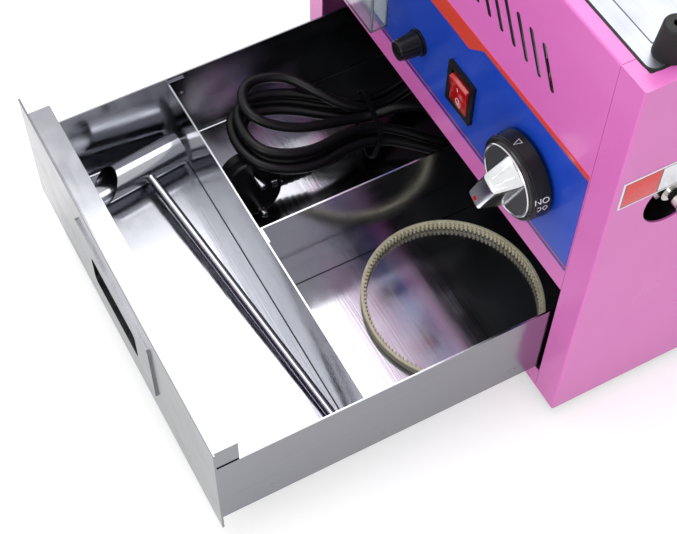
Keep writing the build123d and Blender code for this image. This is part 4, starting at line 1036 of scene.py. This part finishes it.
# %% Rocker
rocker_pivot = Vector((26.0, -155.5, 164.5))
rocker_tilt = radians(12.0)
rocker_back = Vector((0, cos(rocker_tilt), sin(rocker_tilt)))
rocker_low, rocker_high = box_mm("power_rocker")
rocker_wide = rocker_high.x - rocker_low.x
face_top = Vector((-7.0, 9.5, 0))
face_middle = Vector((-7.7, 0, 0))
face_foot = Vector((-9.5, -9.5, 0))
side_view = [face_top, face_middle, face_foot, Vector((-1, -9.9, 0)), Vector((-1, 9.9, 0))]
shell = bmesh.new()
shell.faces.new([shell.verts.new(point) for point in side_view])
eased(thickened(shell, rocker_wide), 0.5, 3)
rocker_place = standing(rocker_pivot - right * (rocker_wide / 2), rocker_back, right)
rocker_shell = make_piece("rocker_shell", shell, "rocker", "red_plastic", rocker_place)
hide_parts("power_rocker")

# %% Rocker marks
on_mark = rounded_box(0.6, 3.2, 0.15, 0.05, 1)
off_mark = thickened(outlined(32, 1.8, 0.36, stretch=1.2), 0.15)
mark_sink = 0.05
rocker_ink = bmesh.new()
slopes = ((face_top, face_middle, on_mark), (face_middle, face_foot, off_mark))
for upper, lower, drawing in slopes:
    up_slope = (upper - lower).normalized()
    outward = Vector((-up_slope.y, up_slope.x, 0))
    across = up_slope.cross(outward)
    spot = (upper + lower) / 2 + up * (rocker_wide / 2) - outward * mark_sink
    added(rocker_ink, drawing, rocker_place @ standing(spot, across, outward))
make_piece("rocker_marks", rocker_ink, "rocker", "red_plastic", finish=white_print)

# %% [markdown]
# ## The fuse cap's grip
#
# The fuse cap is a small cone with moulded flutes, so that fingers can turn it. One thin rib is
# laid along the cone and copied round it.

# %% Fuse cap ribs
cap_low, cap_high = box_mm("fuse_cap")
cap_mid = Vector(((cap_low.x + cap_high.x) / 2, cap_low.y, (cap_low.z + cap_high.z) / 2))
cap_r = (cap_high.x - cap_low.x) / 2
cap_deep = 13.0
cap_taper = tan(radians(5.0))
rib_count = 20
rib_place = standing(Vector((cap_r - 0.35, 0, 1.4)), right, up - right * cap_taper)
rib = rounded_box(0.8, 0.9, 9.5, 0.3, 1)
bmesh.ops.transform(rib, matrix=rib_place, verts=rib.verts)
cap_place = standing(cap_mid + back * cap_deep, right, front)
make_piece("cap_ribs", repeated(rib, rib_count), "fuse_plug", "black_plastic", cap_place)

# %% [markdown]
# ## The meter's scale
#
# Behind the clear cover is a white dial. Its scale is an arc of ticks about the needle's pivot
# with plain numbers, and each fifth tick is longer and thicker. Ticks are thin boxes turned about
# the pivot.

# %% Dial ticks and numbers
needle_pivot = Vector((-86.0, 0, 152.0))
dial_face = box_mm("meter_dial")[0].y + 4.5
dial_matrix = standing(needle_pivot + back * dial_face, right, front)
scale_r = 23.0
number_r = 27.6
scale_start, scale_sweep = 135, 90
tick_count = 21
tick_group = 5
number_count = 5
dial_ink = bmesh.new()
for tick in range(tick_count):
    bearing = radians(scale_start - scale_sweep * tick / (tick_count - 1))
    long, thick = (3.6, 0.5) if tick % tick_group == 0 else (2.0, 0.3)
    mark = rounded_box(long, thick, 0.1, 0.03, 1)
    turned = Matrix.Rotation(bearing, 4, "Z")
    added(dial_ink, mark, turned @ Matrix.Translation((scale_r, 0, 0)))
for step in range(number_count):
    bearing = radians(scale_start - scale_sweep * step / (number_count - 1))
    spot = (number_r * cos(bearing), number_r * sin(bearing) + 0.4, 0)
    number = thickened(lettering(str(step * tick_group), 3.4), 0.1)
    added(dial_ink, number, Matrix.Translation(spot))
black = finishes["black_plastic"]
make_piece("dial_marks", dial_ink, "cabinet", "dial_white", dial_matrix, black)

# %% [markdown]
# ## The bare plate on the side
#
# A thin enamelled plate is fixed on the right side, just above the gas inlet. It is a flat box
# with rounded corners. Its red front end, its white rest and the dark hairline inside its edge
# are again comparisons of place, so the plate needs no seams in its mesh.

# %% Side plate
side_x = box_mm("side_panel_right")[1].x
plate_long = 78.0
plate_tall = 20.4
plate_front = -156.4
plate_low = 207.0
plate_split = plate_front + 22.4
plate_mid = Vector((side_x, plate_front + plate_long / 2, plate_low + plate_tall / 2))
rim_wide = 1.0
hair_inset = 1.5
hair_half = 0.3


def two_tone_plate():
    """Bare enamelled plate: one end red, the rest white, a dark hairline inside its edge."""
    finish = Finish("plate_enamel")
    x, y, z = finish.axes()
    from_mid_y = abs(y - plate_mid.y * MM)
    from_mid_z = abs(z - plate_mid.z * MM)

    def near_edge(margin):
        along = from_mid_y > (plate_long / 2 - margin) * MM
        return along + (from_mid_z > (plate_tall / 2 - margin) * MM)

    rim = near_edge(rim_wide).clamped()
    split = abs(y - plate_split * MM) < hair_half * MM
    hair = (near_edge(hair_inset) + split).clamped() * (1 - rim)
    red_end = (y < plate_split * MM) * (1 - rim)
    worn = finish.noise(size=0.02, detail=4.0)
    ground = finish.mixed(red_end, tone(0.82, 0.83, 0.88), tone(0.70, 0.035, 0.03))
    ground = finish.mixed(hair, ground, tone(0.05, 0.05, 0.08))
    return finish.surface(
        base_color=ground, roughness=0.25 + worn * 0.12, coat_weight=0.3, coat_roughness=0.08,
    )


plate = rounded_box(plate_tall, plate_long, 0.4, 0.12, 2)
plate_matrix = standing(plate_mid, up, right)
make_piece("side_plate", plate, "cabinet", "pink_paint", plate_matrix, two_tone_plate())

# %% [markdown]
# ## Small things on the sheets
#
# Spot welds leave shallow round rings on the drawer's side, and the rear screws' cross recesses
# are dark bars of painted shade. Both are small and repeated, so one shape each is placed by a
# loop.

# %% Spot welds, and painted shade in the screw recesses
tray_low, tray_high = box_mm("drawer_tray")
weld_places = (-264.3, -180.0, -335.0)
weld_level = 39.8
welds = bmesh.new()
for along in weld_places:
    weld = spun([(1.3, 0), (1.6, 0.18), (2.1, 0.22), (2.5, 0)], 24)
    added(welds, weld, standing(Vector((tray_high.x, along, weld_level)), back, right))
make_piece("spot_welds", welds, "drawer", "drawer_steel")

screw_low, screw_high = box_mm("panel_screws")
screw_head_r = 3.4
screw_rows = 3
row_step = (screw_high.z - screw_low.z - 2 * screw_head_r) / (screw_rows - 1)
# Painted shade: gloss black bars lie in the screws' cross recesses.
recess_shades = bmesh.new()
for row in range(screw_rows):
    level = screw_low.z + screw_head_r + row * row_step
    for column in (screw_low.x + screw_head_r, screw_high.x - screw_head_r):
        middle = Vector((column, screw_high.y, level))
        for diagonal in (right + up, right - up):
            bar = rounded_box(3.4, 0.8, 0.1, 0.04, 1)
            added(recess_shades, bar, standing(middle, diagonal, back))
make_piece("screw_recess_shades", recess_shades, "cabinet", "zinc_steel", finish=gloss)

# %% [markdown]
# ## Bends, and painted shadow lines at the dividers and the deck
#
# A wall of the drawer is bent up from its floor, so the corner between them is a small round that
# catches the light. The dividers only stand on the floor, and a thin dark strip at their feet is a
# painted shadow line. A thin dark ring round the deck's edge is a painted shadow gap. The round is
# one vertex spun into an arc, closed with the corner and extruded; the dark ring is a plate with
# rounded corners, inset and opened.

# %% Bends of the tray
bend_r = 1.6
sheet = 1.0
tray_run = tray_high.y - tray_low.y - 16


def cove(radius, run):
    """The inner round of a bend, along local Z."""
    shape = bmesh.new()
    first = shape.verts.new((radius, 0, 0))
    bmesh.ops.spin(
        shape, geom=[first], cent=(radius, radius, 0), axis=-up, angle=pi / 2, steps=6
    )
    arc = shape.verts[:]
    shape.faces.new([shape.verts.new((0, 0, 0))] + arc)
    return thickened(shape, run)


left_foot = Vector((tray_low.x + sheet, tray_high.y - sheet, tray_low.z + sheet))
right_foot = Vector((tray_high.x - sheet, tray_low.y + 15, tray_low.z + sheet))
bends = bmesh.new()
added(bends, cove(bend_r, tray_run), standing(left_foot, right, front))
added(bends, cove(bend_r, tray_run), standing(right_foot, -right, back))
make_piece("tray_bends", bends, "drawer", "drawer_steel")

# %% Painted shadow lines at the feet of the dividers
cross_low, cross_high = box_mm("cross_divider")
long_low, long_high = box_mm("long_divider")
# Painted shadow: a thin dark strip along each divider's foot.
shadow_line_wide = 0.5
cross_shadow_line = rounded_box(cross_high.x - cross_low.x - 2 * bend_r, shadow_line_wide, shadow_line_wide, 0.1, 1)
cross_spot = Vector(((cross_low.x + cross_high.x) / 2, cross_low.y - 0.1, cross_low.z))
long_shadow_line = rounded_box(shadow_line_wide, long_high.y - long_low.y - 2 * bend_r, shadow_line_wide, 0.1, 1)
long_spot = Vector((long_high.x + 0.1, (long_low.y + long_high.y) / 2, long_low.z))
foot_shadow_lines = bmesh.new()
added(foot_shadow_lines, cross_shadow_line, Matrix.Translation(cross_spot))
added(foot_shadow_lines, long_shadow_line, Matrix.Translation(long_spot))
make_piece("divider_shadow_lines", foot_shadow_lines, "drawer", "drawer_steel", finish=gloss)

# %% Painted shadow ring round the deck
deck_low, deck_high = box_mm("deck_plate")
# Painted shadow: a thin dark ring round the deck's edge.
shadow_ring_wide = 1.3
shadow_ring_past = 0.9
shadow_ring_corner = 6
shadow_ring = bmesh.new()
bmesh.ops.create_grid(shadow_ring, x_segments=1, y_segments=1, size=1)
bmesh.ops.scale(shadow_ring, vec=(deck_high.x + shadow_ring_past, deck_high.y + shadow_ring_past, 1), verts=shadow_ring.verts)
bmesh.ops.bevel(
    shadow_ring, geom=shadow_ring.verts[:], offset=shadow_ring_corner, segments=6, profile=0.5, affect="VERTICES",
    material=-1,
)
shadow_ring_place = Matrix.Translation((0, 0, deck_low.z + 0.85))
shadow_ring = thickened(opened(shadow_ring, shadow_ring_wide), 0.5)
make_piece("deck_shadow_ring", shadow_ring, "cabinet", "black_rubber", shadow_ring_place)

# %% [markdown]
# ## Floor, light and background
#
# The machine stands on a pale floor in a white studio. A large soft panel hangs behind and above,
# on the side where the flat steel mirrors it, and a weaker one fills from the camera's side. The
# world gives even light, and a white that only the camera, mirrors and clear covers see. The
# floor glows a little for the same rays, so that it comes out white and keeps its shadow. Light
# Path tells the rays apart, and its answers add up as any field does.

# %% Floor
floor_half = 6.0
floor_glow = 0.41
mirrored_glow = 0.4
floor_shape = bmesh.new()
bmesh.ops.create_grid(floor_shape, x_segments=1, y_segments=1, size=floor_half)
floor_mesh = bpy.data.meshes.new("floor")
floor_shape.to_mesh(floor_mesh)
floor_shape.free()
floor_object = bpy.data.objects.new("floor", floor_mesh)
scene.collection.objects.link(floor_object)


def seen_rays(finish):
    """1 for a ray from the camera, from a mirror, and through a clear cover."""
    rays = finish.node("ShaderNodeLightPath")
    return finish.outputs_of(rays, "Is Camera Ray", "Is Glossy Ray", "Is Transmission Ray")


paper = Finish("floor_paper")
fibre = paper.noise(size=0.004, detail=3.0)
paper.surface(
    base_color=paper.mixed(fibre, tone(0.80, 0.80, 0.80), tone(0.78, 0.78, 0.78)), roughness=0.9,
    specular_ior_level=0.0,
)
seen, mirrored, through = seen_rays(paper)
plain = Field(paper, paper.shader.outputs[0])
glow_inputs = {"Color": tone(1, 1, 1), "Strength": floor_glow}
glow = paper.node("ShaderNodeEmission", inputs=glow_inputs)
lit = paper.node("ShaderNodeAddShader", inputs={0: plain, 1: glow})
share = (seen + through + mirrored * mirrored_glow).clamped()
chosen = paper.node("ShaderNodeMixShader", inputs={0: share, 1: plain, 2: lit})
paper.feed(paper.tree.nodes["Material Output"].inputs["Surface"], chosen)
floor_mesh.materials.append(paper.owner)
print("floor", floor_half * 2, "m, glow", floor_glow)

# %% World
even_light = 0.72
studio = Finish("studio", "worlds", "Background")
seen, mirrored, through = seen_rays(studio)
white = (seen + mirrored + through).clamped()
studio.surface(color=tone(1, 1, 1), strength=white * (1 - even_light) + even_light)
scene.world = studio.owner
print("world light", even_light)


# %% Soft panels
def soft_panel(name, place, aim, size, power):
    """A rectangular lamp that faces a point."""
    lamp = bpy.data.lights.new(name, "AREA")
    lamp.shape = "RECTANGLE"
    lamp.size, lamp.size_y = size
    lamp.energy = power
    holder = bpy.data.objects.new(name, lamp)
    scene.collection.objects.link(holder)
    holder.location = place
    holder.rotation_euler = (Vector(aim) - Vector(place)).to_track_quat("-Z", "Y").to_euler()
    print(name, power, "W")


soft_panel("top_panel", (-0.43, 0.2, 1.5), (-0.43, 0.2, 0.0), (1.2, 1.7), 17.5)
soft_panel("fill_panel", (0.9, -1.9, 1.0), (0.05, -0.15, 0.15), (1.1, 1.1), 14.0)

# %% Finish
scene.view_settings.view_transform = "Standard"
